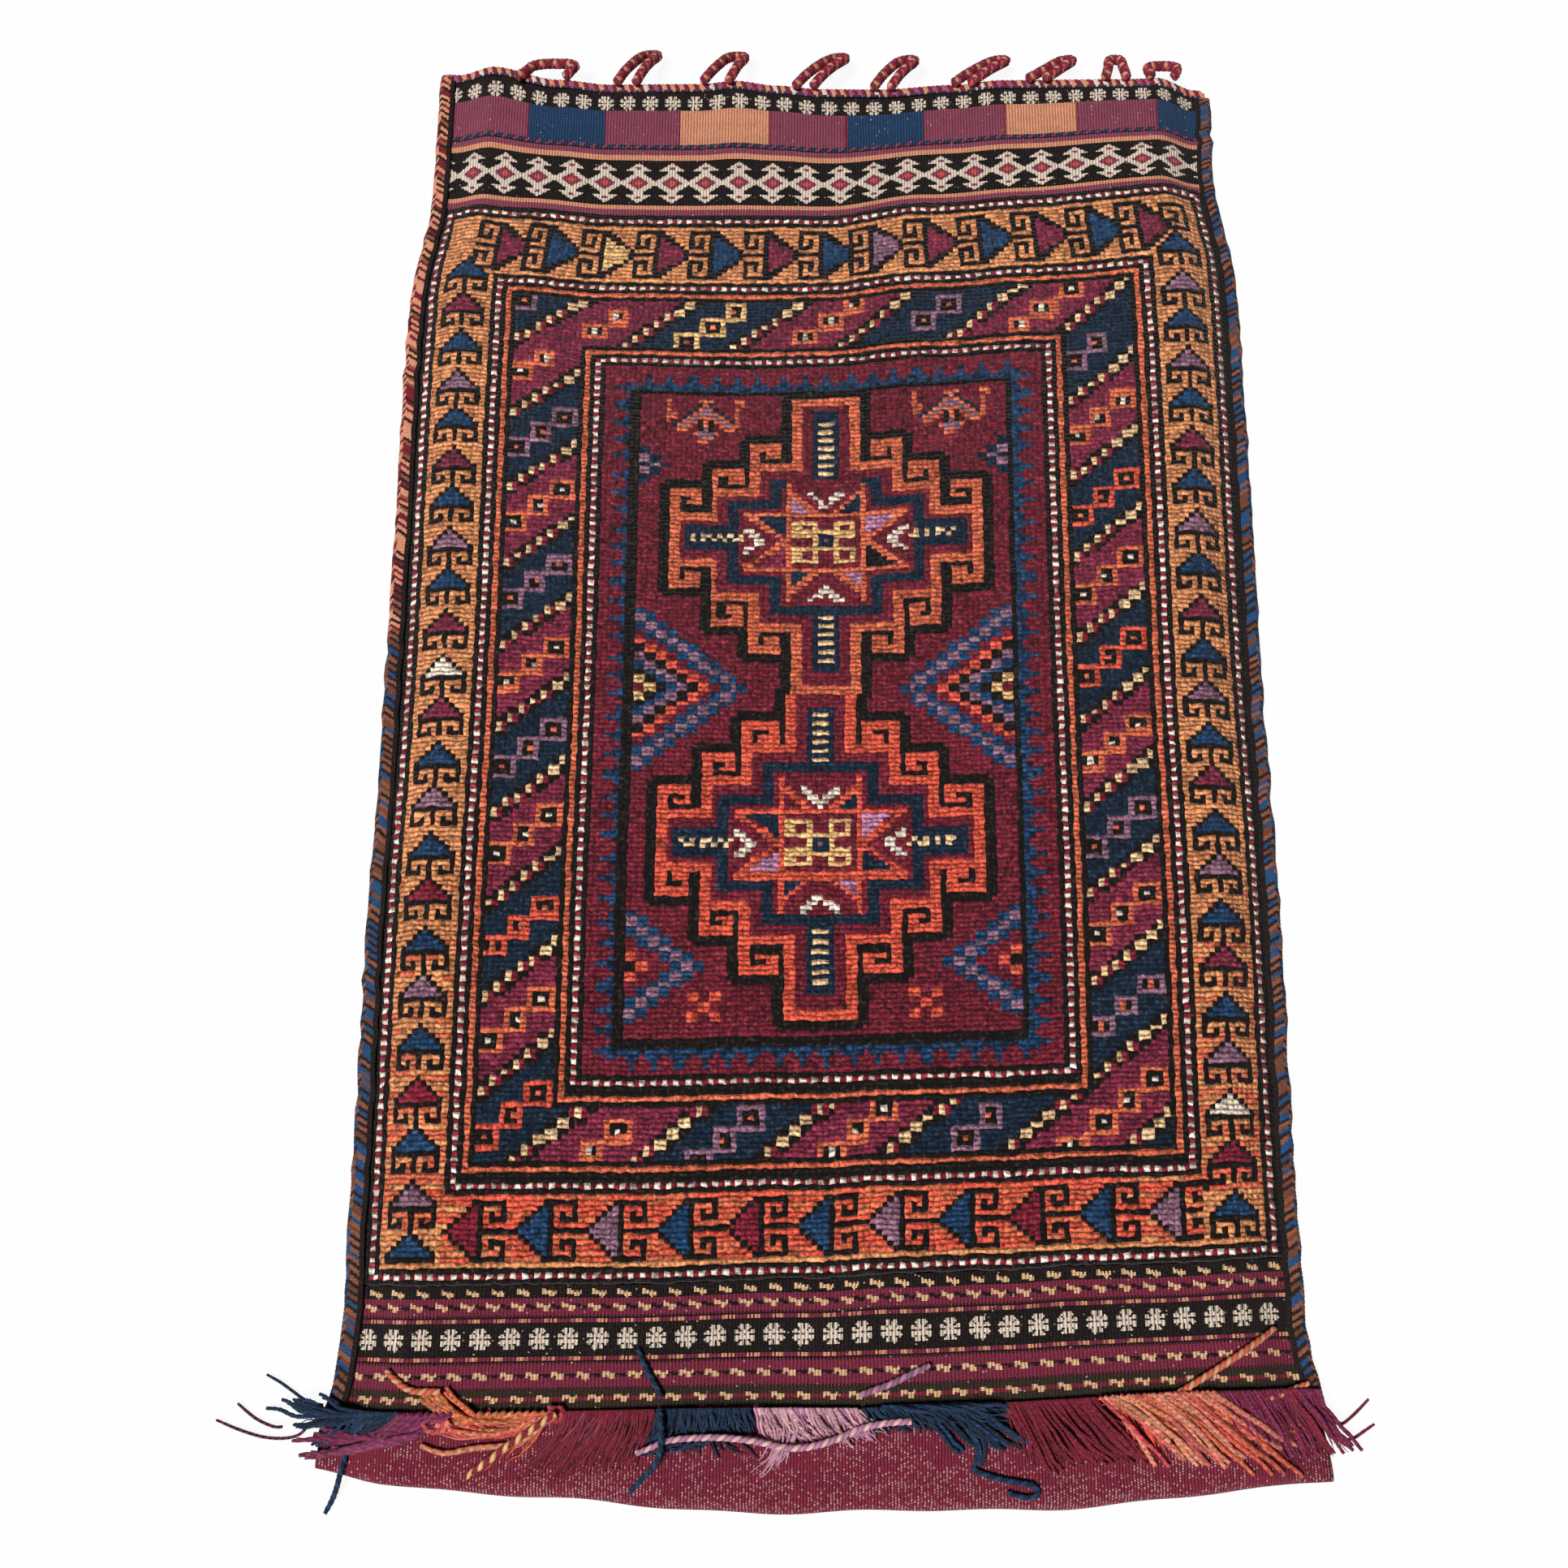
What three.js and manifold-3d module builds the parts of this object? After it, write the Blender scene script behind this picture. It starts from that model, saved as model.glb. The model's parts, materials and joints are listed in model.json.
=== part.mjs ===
// Tribal pillow bag, lying face up and empty, with its mouth towards +Y.
// A plain back cloth comes round the bottom fold as an apron, and meets the front's three bands there:
// a lower flatweave, a knotted pile panel and an upper flatweave. Overcast bindings close both sides.
// Braided loops stand along the mouth, and a knotted fringe lies over the apron.

import * as THREE from 'three';
import { mergeVertices } from 'three/addons/utils/BufferGeometryUtils.js';
import Module from 'manifold-3d';

const wasm = await Module();
wasm.setup();

// Lengths of the cloth along the bag, in millimetres
const pileLength = 764;
const lowerBandLength = 73;
const upperBandLength = 112;
const apronLength = 40;
const apronBow = 20;

// Widths across the bag, over both bindings
const mouthWidth = 602;
const neckWidth = 598;
const chestWidth = 618;
const waistWidth = 604;
const ankleWidth = 590;
const hemWidth = 614;

// Thickness of the cloths, the pile and the overcasting yarn
const backThick = 2.5;
const frontThick = 3.5;
const pileHeight = 5.5;
const pileSlope = 2;
const wrapThick = 1.5;

// Space between front and back
const pocketLoft = 12;
const mouthLoft = 13;
const shoulderRun = 34;
const mouthRun = 90;

// Overcast bindings of the sides and of the mouth
const bindingWidth = 12;
const bindingWall = 3;
const bindingStop = 24;
const rollDepth = 6;
const rollWall = 2;

// Closure loops
const loopThick = 7.5;
const loopGap = 2.4;
const loopReach = 38;
const loopDroop = 14;

// Fringe
const fringeLength = 46;
const strandThick = 4.4;
const strandTip = 2.4;
const strandPitch = 9;
const knotThick = 6;
const bundleGap = 1.2;

// Unevenness of the strands: the turn in radians from one to the next, the sway as a share of their pitch,
// the share of their length that it takes up, and how late along their length they lean over
const curlTurn = 2.4;
const swayShare = 0.25;
const shortShare = 0.12;
const leanPower = 1.3;

// Loose cords and stray ends
const cordThick = 3.6;
const plyThick = 4.2;
const strayThick = 2;

// Running clearance between pieces that touch
const clear = 0.3;

// Facets
const middleColumns = 8;
const pileRows = 16;
const foldSteps = 6;
const bandRows = 4;
const roundSteps = 6;
const loopSides = 6;
const loopSteps = 22;
const domeRings = 2;
const strandSides = 4;
const strandSteps = 5;
const knotSteps = 4;
const cordSides = 8;
const cordStep = 2.5;

// Levels along the bag, counted from the lower end of the pile
const pileTop = pileLength;
const mouthLine = pileLength + upperBandLength;
const fringeLine = -lowerBandLength;
const cornerLine = fringeLine - apronLength;

// Where each width is found, as a share of the pile's length
const neckShare = 1.02;
const chestShare = 0.9;
const waistShare = 0.4;
const ankleShare = -0.045;

const smooth = (value) => THREE.MathUtils.smoothstep(value, 0, 1);

// Half the bag's width at a level, eased between the named widths
function halfWidth(y) {
  const stations = [
    [cornerLine - apronBow, hemWidth],
    [cornerLine, hemWidth],
    [ankleShare * pileLength, ankleWidth],
    [waistShare * pileLength, waistWidth],
    [chestShare * pileLength, chestWidth],
    [neckShare * pileLength, neckWidth],
    [mouthLine, mouthWidth],
  ];
  if (y >= mouthLine) return mouthWidth / 2;
  const next = Math.max(1, stations.findIndex(([level]) => level > y));
  const [fromLevel, fromWidth] = stations[next - 1];
  const [toLevel, toWidth] = stations[next];
  const eased = smooth((y - fromLevel) / (toLevel - fromLevel));
  return THREE.MathUtils.lerp(fromWidth, toWidth, eased) / 2;
}

// The two cloths lie together in the bindings, 0, and part to the full loft at 1
const parting = (inset) => smooth((inset - bindingWidth) / shoulderRun);

function loft(inset, y) {
  const gaping = smooth((y - (mouthLine - mouthRun)) / (mouthRun - rollDepth));
  const full = THREE.MathUtils.lerp(pocketLoft, mouthLoft, gaping);
  return THREE.MathUtils.lerp(clear, full, parting(inset));
}

// Heights over the floor, on which the back lies flat
const backBottom = () => 0;
const backTop = () => backThick;
const frontBottom = (inset, y) => backThick + loft(inset, y);
const frontTop = (inset, y) => frontBottom(inset, y) + frontThick;
const apronTop = (inset, y) => frontBottom(inset, y) + backThick;

// Overcasting stands this far over the cloth that it holds
const lipRise = clear + wrapThick;
const bindingHeight = backThick + clear + frontThick + lipRise;

// Insets of the cloth's columns from the bag's outer edge, from the selvage to the end of the shoulder
const selvage = bindingWall + clear;
const shoulderShares = [0.25, 0.5, 0.75, 1];
const edgeInsets = [
  selvage,
  bindingWidth + clear,
  bindingWidth + clear + pileSlope,
  ...shoulderShares.map((share) => bindingWidth + shoulderRun * share),
].sort((a, b) => a - b);

// One row of [x, inset] across the bag at a level
function columnsAt(y) {
  const half = halfWidth(y);
  const left = edgeInsets.map((inset) => [inset - half, inset]);
  const right = left.map(([x, inset]) => [-x, inset]).reverse();
  const start = left.at(-1)[0];
  const middle = [];
  for (let i = 1; i < middleColumns; i += 1) {
    const x = THREE.MathUtils.lerp(start, -start, i / middleColumns);
    middle.push([x, half - Math.abs(x)]);
  }
  return [...left, ...middle, ...right];
}

// Geometry from shared points and triangles, turned so that its faces point out
function closedSolid(points, triangles) {
  const [a, b, c] = [new THREE.Vector3(), new THREE.Vector3(), new THREE.Vector3()];
  let volume = 0;
  for (const [i, j, k] of triangles) {
    volume += a.copy(points[i]).dot(b.copy(points[j]).cross(c.copy(points[k])));
  }
  const index = triangles.flatMap(([i, j, k]) => (volume > 0 ? [i, j, k] : [i, k, j]));
  const geometry = new THREE.BufferGeometry().setFromPoints(points);
  geometry.setIndex(index);
  return geometry;
}

const quad = (a, b, c, d) => [[a, b, c], [a, c, d]];

// Solid between two grids of points, closed along its four sides
function solidBetween(over, under) {
  const rows = over.length;
  const columns = over[0].length;
  const upper = (r, c) => r * columns + c;
  const lower = (r, c) => (rows + r) * columns + c;
  const triangles = [];
  for (let r = 1; r < rows; r += 1) {
    for (let c = 1; c < columns; c += 1) {
      triangles.push(...quad(upper(r - 1, c - 1), upper(r - 1, c), upper(r, c), upper(r, c - 1)));
      triangles.push(...quad(lower(r - 1, c - 1), lower(r, c - 1), lower(r, c), lower(r - 1, c)));
    }
  }
  const rim = [];
  for (let c = 0; c < columns - 1; c += 1) rim.push([0, c]);
  for (let r = 0; r < rows - 1; r += 1) rim.push([r, columns - 1]);
  for (let c = columns - 1; c > 0; c -= 1) rim.push([rows - 1, c]);
  for (let r = rows - 1; r > 0; r -= 1) rim.push([r, 0]);
  rim.forEach(([r, c], i) => {
    const [nextR, nextC] = rim[(i + 1) % rim.length];
    triangles.push(...quad(lower(r, c), lower(nextR, nextC), upper(nextR, nextC), upper(r, c)));
  });
  return closedSolid([...over.flat(), ...under.flat()], triangles);
}

// Solid through rings of points, its two ends closed by the section's own triangles
function solidThrough(rings, section) {
  const size = section.length;
  const triangles = [];
  for (let i = 1; i < rings.length; i += 1) {
    for (let j = 0; j < size; j += 1) {
      const next = (j + 1) % size;
      const [low, high] = [(i - 1) * size, i * size];
      triangles.push(...quad(low + j, low + next, high + next, high + j));
    }
  }
  const last = (rings.length - 1) * size;
  for (const [a, b, c] of THREE.ShapeUtils.triangulateShape(section, [])) {
    triangles.push([c, b, a], [last + a, last + b, last + c]);
  }
  return closedSolid(rings.flat(), triangles);
}

// Levels from one place along the bag to another. All pieces share the inner ones, so that their edges match.
function levelsBetween(from, to) {
  const pitch = pileLength / pileRows;
  const levels = [from];
  for (let i = Math.floor(from / pitch) + 1; i * pitch < to; i += 1) levels.push(i * pitch);
  return [...levels, to];
}

// Levels from one place up to the mouth, the last row of them inside the mouth's overcasting
const mouthLevels = (from) => [...levelsBetween(from, mouthLine - rollDepth), mouthLine];

// A band of cloth with rows at the given levels, and a height function for its underside and its face
function clothBand(levels, bottom, top) {
  const rows = levels.map((y) => [y, columnsAt(y)]);
  const face = (height) =>
    rows.map(([y, row]) => row.map(([x, inset]) => new THREE.Vector3(x, y, height(inset, y))));
  return solidBetween(face(top), face(bottom));
}

const pileRise = (inset) => pileHeight * smooth((inset - bindingWidth - clear) / pileSlope);

const pileFace = (inset, y) => frontTop(inset, y) + pileRise(inset);
const upperFlatweave = () => clothBand(mouthLevels(pileTop + clear), frontBottom, frontTop);
const lowerFlatweave = () => clothBand(levelsBetween(fringeLine, -clear), frontBottom, frontTop);
const pilePanel = () => clothBand(levelsBetween(0, pileTop), frontBottom, pileFace);

// How far the bottom fold bows beyond its corners, at a place across the bag
const hemBow = (x) => apronBow * (1 - (x / (hemWidth / 2)) ** 2);

const backCloth = () => clothBand(mouthLevels(fringeLine), backBottom, backTop);

// The apron: from under the fringe, round the bottom fold and back to the fringe's level, as its two faces
function apronCloth() {
  const inside = [];
  const outside = [];
  const corner = columnsAt(cornerLine);
  // One row: for each column its level, and then its middle point's height and the cloth's inward normal
  const addRow = (levelAt, place) => {
    const row = corner.map(([cornerX, cornerInset], j) => {
      const y = levelAt(cornerX, cornerInset);
      const [x, inset] = columnsAt(y)[j];
      const { z, normal } = place(inset, y, cornerInset);
      return [new THREE.Vector3(x, y, z), normal];
    });
    inside.push(row.map(([point, normal]) => point.clone().addScaledVector(normal, backThick / 2)));
    outside.push(row.map(([point, normal]) => point.clone().addScaledVector(normal, -backThick / 2)));
  };
  const [up, down] = [new THREE.Vector3(0, 0, 1), new THREE.Vector3(0, 0, -1)];
  const turnRadius = (inset) => (loft(inset, cornerLine) + backThick) / 2;
  const turnLevel = (x, inset) => cornerLine - hemBow(x) + turnRadius(inset) + backThick / 2;
  for (let r = 0; r < bandRows; r += 1) {
    addRow(
      (x, inset) => THREE.MathUtils.lerp(fringeLine - clear, turnLevel(x, inset), r / bandRows),
      (inset, y) => ({ z: apronTop(inset, y) - backThick / 2, normal: down }),
    );
  }
  for (let r = 0; r <= foldSteps; r += 1) {
    const angle = (Math.PI * r) / foldSteps;
    const normal = new THREE.Vector3(0, Math.sin(angle), -Math.cos(angle));
    addRow(
      (x, inset) => turnLevel(x, inset) - turnRadius(inset) * Math.sin(angle),
      (inset, y, cornerInset) => (
        { z: backThick / 2 + turnRadius(cornerInset) * (1 + Math.cos(angle)), normal }
      ),
    );
  }
  addRow(() => fringeLine - clear, () => ({ z: backThick / 2, normal: up }));
  return solidBetween(inside, outside);
}

// Section of an overcast edge: a round back and a lip over the cloth, and a second lip under a cloth in the air.
// It runs from its inner side, at minus its depth, to its outermost point, at 0.
function edgeSection(depth, wall, height, lipUnder) {
  const radius = height / 2;
  const bulge = lipUnder ? Math.min(radius, depth / 2) : wall;
  const outline = lipUnder ? [new THREE.Vector2(-depth, 0)] : [];
  for (let i = 0; i <= roundSteps; i += 1) {
    const angle = -Math.PI / 2 + (Math.PI * i) / roundSteps;
    outline.push(new THREE.Vector2(bulge * (Math.cos(angle) - 1), radius + radius * Math.sin(angle)));
  }
  outline.push(
    new THREE.Vector2(-depth, height),
    new THREE.Vector2(-depth, height - wrapThick),
    new THREE.Vector2(-wall, height - wrapThick),
  );
  if (lipUnder) outline.push(new THREE.Vector2(-wall, wrapThick), new THREE.Vector2(-depth, wrapThick));
  return outline;
}

function sideBinding(side) {
  const section = edgeSection(bindingWidth, bindingWall, bindingHeight, false);
  const rings = levelsBetween(cornerLine + bindingStop, mouthLine).map((y) =>
    section.map(({ x, y: z }) => new THREE.Vector3(side * (halfWidth(y) + x), y, z)));
  return solidThrough(rings, section);
}

// An overcast edge of the mouth: it ends where the two cloths come too near each other for both edges
function mouthEdge(base, height, lipUnder) {
  const section = edgeSection(rollDepth + rollWall, rollWall, height, lipUnder);
  const outermost = mouthLine + clear + rollWall;
  const rings = columnsAt(mouthLine)
    .filter(([, inset]) => loft(inset, mouthLine) > 2 * lipRise + clear)
    .map(([x, inset]) =>
      section.map(({ x: out, y: z }) => new THREE.Vector3(x, outermost + out, base(inset) + z)));
  return solidThrough(rings, section);
}

// Round solid along a curve, with a radius for each share of its length and round ends
function ropeSolid(route, radiusAt, sides, steps, domed) {
  const curve = new THREE.CatmullRomCurve3(route);
  const { normals, binormals } = curve.computeFrenetFrames(steps, false);
  const section = [];
  for (let j = 0; j < sides; j += 1) {
    const angle = (2 * Math.PI * j) / sides;
    section.push(new THREE.Vector2(Math.cos(angle), Math.sin(angle)));
  }
  const ring = (centre, i, radius) =>
    section.map(({ x, y }) =>
      centre.clone().addScaledVector(normals[i], x * radius).addScaledVector(binormals[i], y * radius));
  const rings = [];
  for (let i = 0; i <= steps; i += 1) {
    rings.push(ring(curve.getPointAt(i / steps), i, radiusAt(i / steps)));
  }
  const dome = (i) => {
    const centre = curve.getPointAt(i / steps);
    const outward = curve.getTangentAt(i / steps).multiplyScalar(i === 0 ? -1 : 1);
    const radius = radiusAt(i / steps);
    const cap = [];
    for (let k = 1; k <= domeRings; k += 1) {
      const angle = (Math.PI / 2) * (k / (domeRings + 0.5));
      const middle = centre.clone().addScaledVector(outward, radius * Math.sin(angle));
      cap.push(ring(middle, i, radius * Math.cos(angle)));
    }
    return cap;
  };
  if (domed) {
    rings.unshift(...dome(0).reverse());
    rings.push(...dome(steps));
  }
  return solidThrough(rings, section);
}

// Closure loops: place across the mouth, spread of the feet, lean and reach of the head, and its width,
// the place as a share of the mouth's half width and the rest as shares of the loop's reach
const loopShares = [
  [-0.727, 1.15, 0.3, 0.6, 0.75],
  [-0.507, 0.45, 0.5, 1.1, 0.1],
  [-0.277, 0.6, 0.45, 0.98, 0.18],
  [-0.053, 0.42, 0.8, 0.9, 0.1],
  [0.147, 0.4, 0.62, 0.78, 0.12],
  [0.35, 0.4, 0.9, 0.78, 0.08],
  [0.54, 0.4, 0.75, 0.78, 0.06],
  [0.747, 0.5, 0.05, 0.8, 0.05],
  [0.867, 0.5, 0.02, 0.52, 0.42],
];
// One leg of a loop as [share of the reach, share of the way from the feet's spread to the head's],
// and the shoulder where it bends over to the other leg, as shares of the reach and of the head's spread
const legShares = [[0, 0], [0.3, 0.35], [0.62, 0.85], [0.84, 1]];
const shoulderAlong = 0.96;
const shoulderShare = 0.7;

const rollTop = (inset) => frontTop(inset, mouthLine) + lipRise;
const hingeLine = mouthLine + clear + rollWall - (rollDepth + rollWall) / 2;

function closureLoop([placeShare, feetShare, leanShare, reachShare, headShare]) {
  const place = (placeShare * mouthWidth) / 2;
  const foot = (feetShare * loopReach) / 2;
  const lean = leanShare * loopReach;
  const reach = reachShare * loopReach;
  const head = (loopThick + loopGap) / 2 + (headShare * loopReach) / 2;
  const feet = Math.max(foot, (loopThick + loopGap) / 2);
  // The edge is highest under the foot nearer the middle of the mouth
  const inset = mouthWidth / 2 - Math.abs(place) + feet + loopThick;
  const top = rollTop(inset) + clear + loopThick / 2;
  const fall = (out) => top - loopDroop * (out / loopReach) ** 2;
  const leg = legShares.map(([along, across]) => [along, THREE.MathUtils.lerp(feet, head, across)]);
  const half = [...leg, [shoulderAlong, head * shoulderShare]];
  const back = half.map(([along, across]) => [along, -across]).reverse();
  const route = [...half, [1, 0], ...back].map(([along, across]) =>
    new THREE.Vector3(place + lean * along - across, hingeLine + reach * along, fall(reach * along)));
  return ropeSolid(route, () => loopThick / 2, loopSides, loopSteps, true);
}

// Height on which loose yarn lies near the fringe: the apron, the bindings, then down to the floor outside
function yarnBed(x, y) {
  const inset = halfWidth(y) - Math.abs(x);
  const beyond = Math.max(0, -inset, cornerLine - hemBow(x) - y);
  const bed = Math.max(bindingHeight, apronTop(Math.max(inset, 0), y));
  return bed * (1 - smooth((beyond - strandThick) / (fringeLength / 2)));
}

// Fringe bundles from left to right: name, first and last share of the half width along the knotted line,
// then the lean and the reach of their strands as shares of the fringe's length
const fringeShares = [
  ['fringe_navy_left', -0.985, -0.845, -0.7, 0.34],
  ['fringe_plum_left', -0.845, -0.72, -0.8, 0.58],
  ['fringe_orange_left', -0.72, -0.52, -0.66, 0.72],
  ['fringe_maroon_tuft', -0.52, -0.33, -0.12, 0.98],
  ['fringe_navy_tuft', -0.33, -0.14, 0.02, 0.7],
  ['fringe_lilac_tuft', -0.14, 0.07, 0.1, 0.78],
  ['fringe_navy_right', 0.07, 0.37, 0.34, 0.62],
  ['fringe_maroon_right', 0.37, 0.54, 0.44, 0.84],
  ['fringe_orange_right', 0.54, 0.78, 0.48, 0.94],
  ['fringe_plum_right', 0.78, 0.985, 0.5, 1],
];

function asManifold(geometry) {
  const bare = geometry.clone();
  bare.deleteAttribute('normal');
  bare.deleteAttribute('uv');
  const merged = mergeVertices(bare);
  const mesh = new wasm.Mesh({
    numProp: 3,
    vertProperties: new Float32Array(merged.attributes.position.array),
    triVerts: new Uint32Array(merged.index.array),
  });
  return new wasm.Manifold(mesh);
}

function fromManifold(solid) {
  const { vertProperties, triVerts } = solid.getMesh();
  const geometry = new THREE.BufferGeometry();
  geometry.setAttribute('position', new THREE.BufferAttribute(new Float32Array(vertProperties), 3));
  geometry.setIndex(new THREE.BufferAttribute(new Uint32Array(triVerts), 1));
  return geometry;
}

const fuse = (geometries) => fromManifold(geometries.map(asManifold).reduce((sum, next) => sum.add(next)));

// Places along a strand, the share of it that comes down from its knot, and its height over its bed
const strandShares = [0, 0.25, 0.5, 0.75, 1];
const knotRun = 1 / 3;
const strandLift = clear * 3;

// One bundle: a row of knots along the fringe line, with its strands fused into it
function fringeBundle([, startShare, endShare, leanShare, reachShare]) {
  const half = halfWidth(fringeLine);
  const start = startShare * half + bundleGap;
  const end = endShare * half - bundleGap;
  const bed = (x) => yarnBed(x, fringeLine) + frontThick - backThick + 2 * clear;
  const across = (share) => THREE.MathUtils.lerp(start + knotThick / 2, end - knotThick / 2, share);
  const knots = [];
  for (let i = 0; i <= knotSteps; i += 1) {
    const x = across(i / knotSteps);
    knots.push(new THREE.Vector3(x, fringeLine, bed(x) + knotThick / 2));
  }
  const bar = ropeSolid(knots, () => knotThick / 2, loopSides, strandSteps, true);
  const count = Math.max(2, Math.round((end - start) / strandPitch));
  const strands = [];
  for (let i = 0; i < count; i += 1) {
    const curl = Math.sin(i * curlTurn);
    const lean = fringeLength * leanShare + strandPitch * swayShare * curl;
    const reach = fringeLength * reachShare * (1 - shortShare * Math.abs(curl));
    const route = strandShares.map((share) => {
      const x = across(i / (count - 1)) + lean * share ** leanPower;
      const y = fringeLine - reach * share;
      const knotRise = frontThick - backThick + (knotThick - strandThick) / 2;
      const rise = knotRise * (1 - smooth(share / knotRun));
      return new THREE.Vector3(x, y, yarnBed(x, y) + strandLift + strandThick / 2 + rise);
    });
    const taper = (share) => THREE.MathUtils.lerp(strandThick, strandTip, share) / 2;
    strands.push(ropeSolid(route, taper, strandSides, strandSteps, false));
  }
  return fuse([bar, ...strands]);
}

// Loose cords: name, thickness, finish, and the points that each follows from its knot
const cords = [
  ['cord_navy_up', cordThick, 'navy',
    [[-96, -69.5, 20.6], [-98, -66, 20.3], [-101, -61, 20.2], [-104.5, -55.5, 20.2], [-107.5, -50, 20.2],
      [-111, -42.5, 20.2]]],
  ['cord_navy_down', cordThick, 'navy',
    [[-96, -77.5, 27.4], [-95.5, -83, 28.6], [-95, -90, 29.2], [-95.5, -98, 28], [-98, -105, 25],
      [-103, -111, 22.9], [-109, -117, 21.6], [-114, -122.5, 19.3]]],
  ['cord_lilac', plyThick, 'lilac',
    [[52, -81, 24.9], [38, -82, 25], [23, -85, 25], [8, -91, 25], [-8, -95.5, 24.6], [-22, -96, 24.6],
      [-38, -93, 24.8], [-56, -91, 25], [-74, -91, 25], [-92, -93, 24.9], [-102, -97, 24.7], [-110, -100, 24.4]]],
  ['cord_lilac_up', plyThick, 'lilac',
    [[22, -67.3, 20.8], [30, -64.5, 20.5], [40, -61, 20.5], [52, -55.5, 20.5], [64, -50, 20.5]]],
  ['cord_navy_loop', cordThick, 'navy',
    [[88, -107.5, 19.1], [96, -110.5, 19.1], [106, -113, 19.1], [116, -114.6, 19.1], [124, -116.5, 19.1],
      [126, -120.5, 19.1], [119, -122.5, 19.1], [108, -120, 19.1]]],
  ['cord_orange_up', plyThick, 'orange',
    [[204, -67.4, 20.9], [212, -64, 20.5], [222, -58.5, 20.5], [236, -50.5, 20.5], [250, -42, 20.5],
      [262, -35, 17.4], [274, -28, 11.1]]],
  ['cord_orange_side', plyThick, 'orange',
    [[262, -67.2, 18.6], [268, -66.6, 16.3], [275, -65, 12.5], [283, -62.5, 10.9], [292, -59, 10.8]]],
  ['cord_orange_left', plyThick, 'orange',
    [[-228, -67.3, 21], [-236, -67.2, 21], [-244, -67.2, 21], [-250, -65, 20.7], [-256, -61, 19.8],
      [-262, -56, 18.1]]],
  ['cord_orange_down', plyThick, 'orange',
    [[-158, -78, 26.6], [-166, -83.5, 26], [-176, -90, 25.2], [-187, -97.5, 25], [-197, -105, 24.6],
      [-205, -110.5, 21.6], [-211, -115, 19.6]]],
  ['cord_navy_corner', cordThick, 'navy',
    [[-283.6, -100.8, 10.2], [-285.5, -108, 9.8], [-287, -115, 9.6], [-289, -122, 6.9],
      [-292, -129, 2.9], [-296, -137, 2]]],
  ['cord_stray_left_1', strayThick, 'navy',
    [[-302.4, -77, 3.6], [-308, -76, 3.8], [-314, -74, 3.2], [-321, -70, 2.2], [-330, -64.5, 1.7],
      [-339, -60, 1.6]]],
  ['cord_stray_left_2', strayThick, 'navy',
    [[-325.6, -89.2, 5.1], [-330, -89.4, 3.8], [-336, -88, 2.2], [-343, -85, 1.6], [-349, -81, 1.6],
      [-355, -76.5, 1.6]]],
  ['cord_stray_left_3', strayThick, 'navy',
    [[-309.4, -89.1, 9.9], [-314, -93, 7], [-322, -95.5, 3.6], [-336, -95.5, 1.7], [-352, -91.5, 1.6],
      [-367, -86, 1.6]]],
  ['cord_stray_right_1', strayThick, 'plum',
    [[297.8, -79.8, 10.7], [305, -81, 8.6], [311, -82, 6.1], [317.5, -79, 2.8], [324, -74, 1.6],
      [330, -68.5, 1.6]]],
  ['cord_stray_right_2', strayThick, 'plum',
    [[302.7, -89.2, 10.3], [308, -90, 8.2], [313, -91, 5.7], [319, -90, 2.7], [325.5, -86.5, 1.6],
      [332, -82.5, 1.6]]],
];

function looseCord(thick, points) {
  const route = points.map((point) => new THREE.Vector3(...point));
  const length = new THREE.CatmullRomCurve3(route).getLength();
  return ropeSolid(route, () => thick / 2, cordSides, Math.ceil(length / (cordStep * thick)), false);
}

const paint = (colour, roughness) => new THREE.MeshStandardMaterial({ color: colour, roughness, metalness: 0 });
const woolFinish = {
  plain: paint(0x74273c, 0.95),
  pile: paint(0x5e1226, 0.9),
  flatweave: paint(0x2a1a18, 0.92),
  binding: paint(0x2b3f58, 0.92),
  overcast: paint(0xd98f68, 0.9),
  braid: paint(0xa33a3a, 0.88),
  navy: paint(0x12304e, 0.9),
  plum: paint(0x6a2237, 0.9),
  orange: paint(0xd9704a, 0.9),
  maroon: paint(0x5a1a30, 0.9),
  lilac: paint(0xa5708f, 0.9),
};

const bag = new THREE.Group();

function add(name, geometry, finish) {
  const mesh = new THREE.Mesh(geometry, woolFinish[finish]);
  mesh.name = name;
  bag.add(mesh);
}

add('back_cloth', backCloth(), 'plain');
add('apron_cloth', apronCloth(), 'plain');
add('pile_panel', pilePanel(), 'pile');
add('upper_flatweave', upperFlatweave(), 'flatweave');
add('lower_flatweave', lowerFlatweave(), 'flatweave');
add('side_binding_left', sideBinding(-1), 'binding');
add('side_binding_right', sideBinding(1), 'binding');
const frontEdgeBase = (inset) => frontBottom(inset, mouthLine) - lipRise;
add('mouth_edge_front', mouthEdge(frontEdgeBase, frontThick + 2 * lipRise, true), 'overcast');
add('mouth_edge_back', mouthEdge(() => 0, backThick + lipRise, false), 'plain');
loopShares.forEach((loop, i) => add(`closure_loop_${i + 1}`, closureLoop(loop), 'braid'));
for (const bundle of fringeShares) add(bundle[0], fringeBundle(bundle), bundle[0].split('_')[1]);

// The origin is the middle of the bag's footprint on the floor, loose cords left out
const footprint = new THREE.Box3().setFromObject(bag);
const middle = footprint.getCenter(new THREE.Vector3());
bag.position.set(-middle.x, -middle.y, -footprint.min.z);

for (const [name, thick, finish, points] of cords) add(name, looseCord(thick, points), finish);

export default bag;
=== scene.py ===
"""Tribal pillow bag: the woven, knotted, braided and plied wool that dresses its solids.

Sizes in the classes are millimetres, counted from the lower end of the pile panel at the middle of the bag.
World positions are metres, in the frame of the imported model.
"""

import json
import logging
from dataclasses import dataclass, field
from enum import Enum

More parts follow.
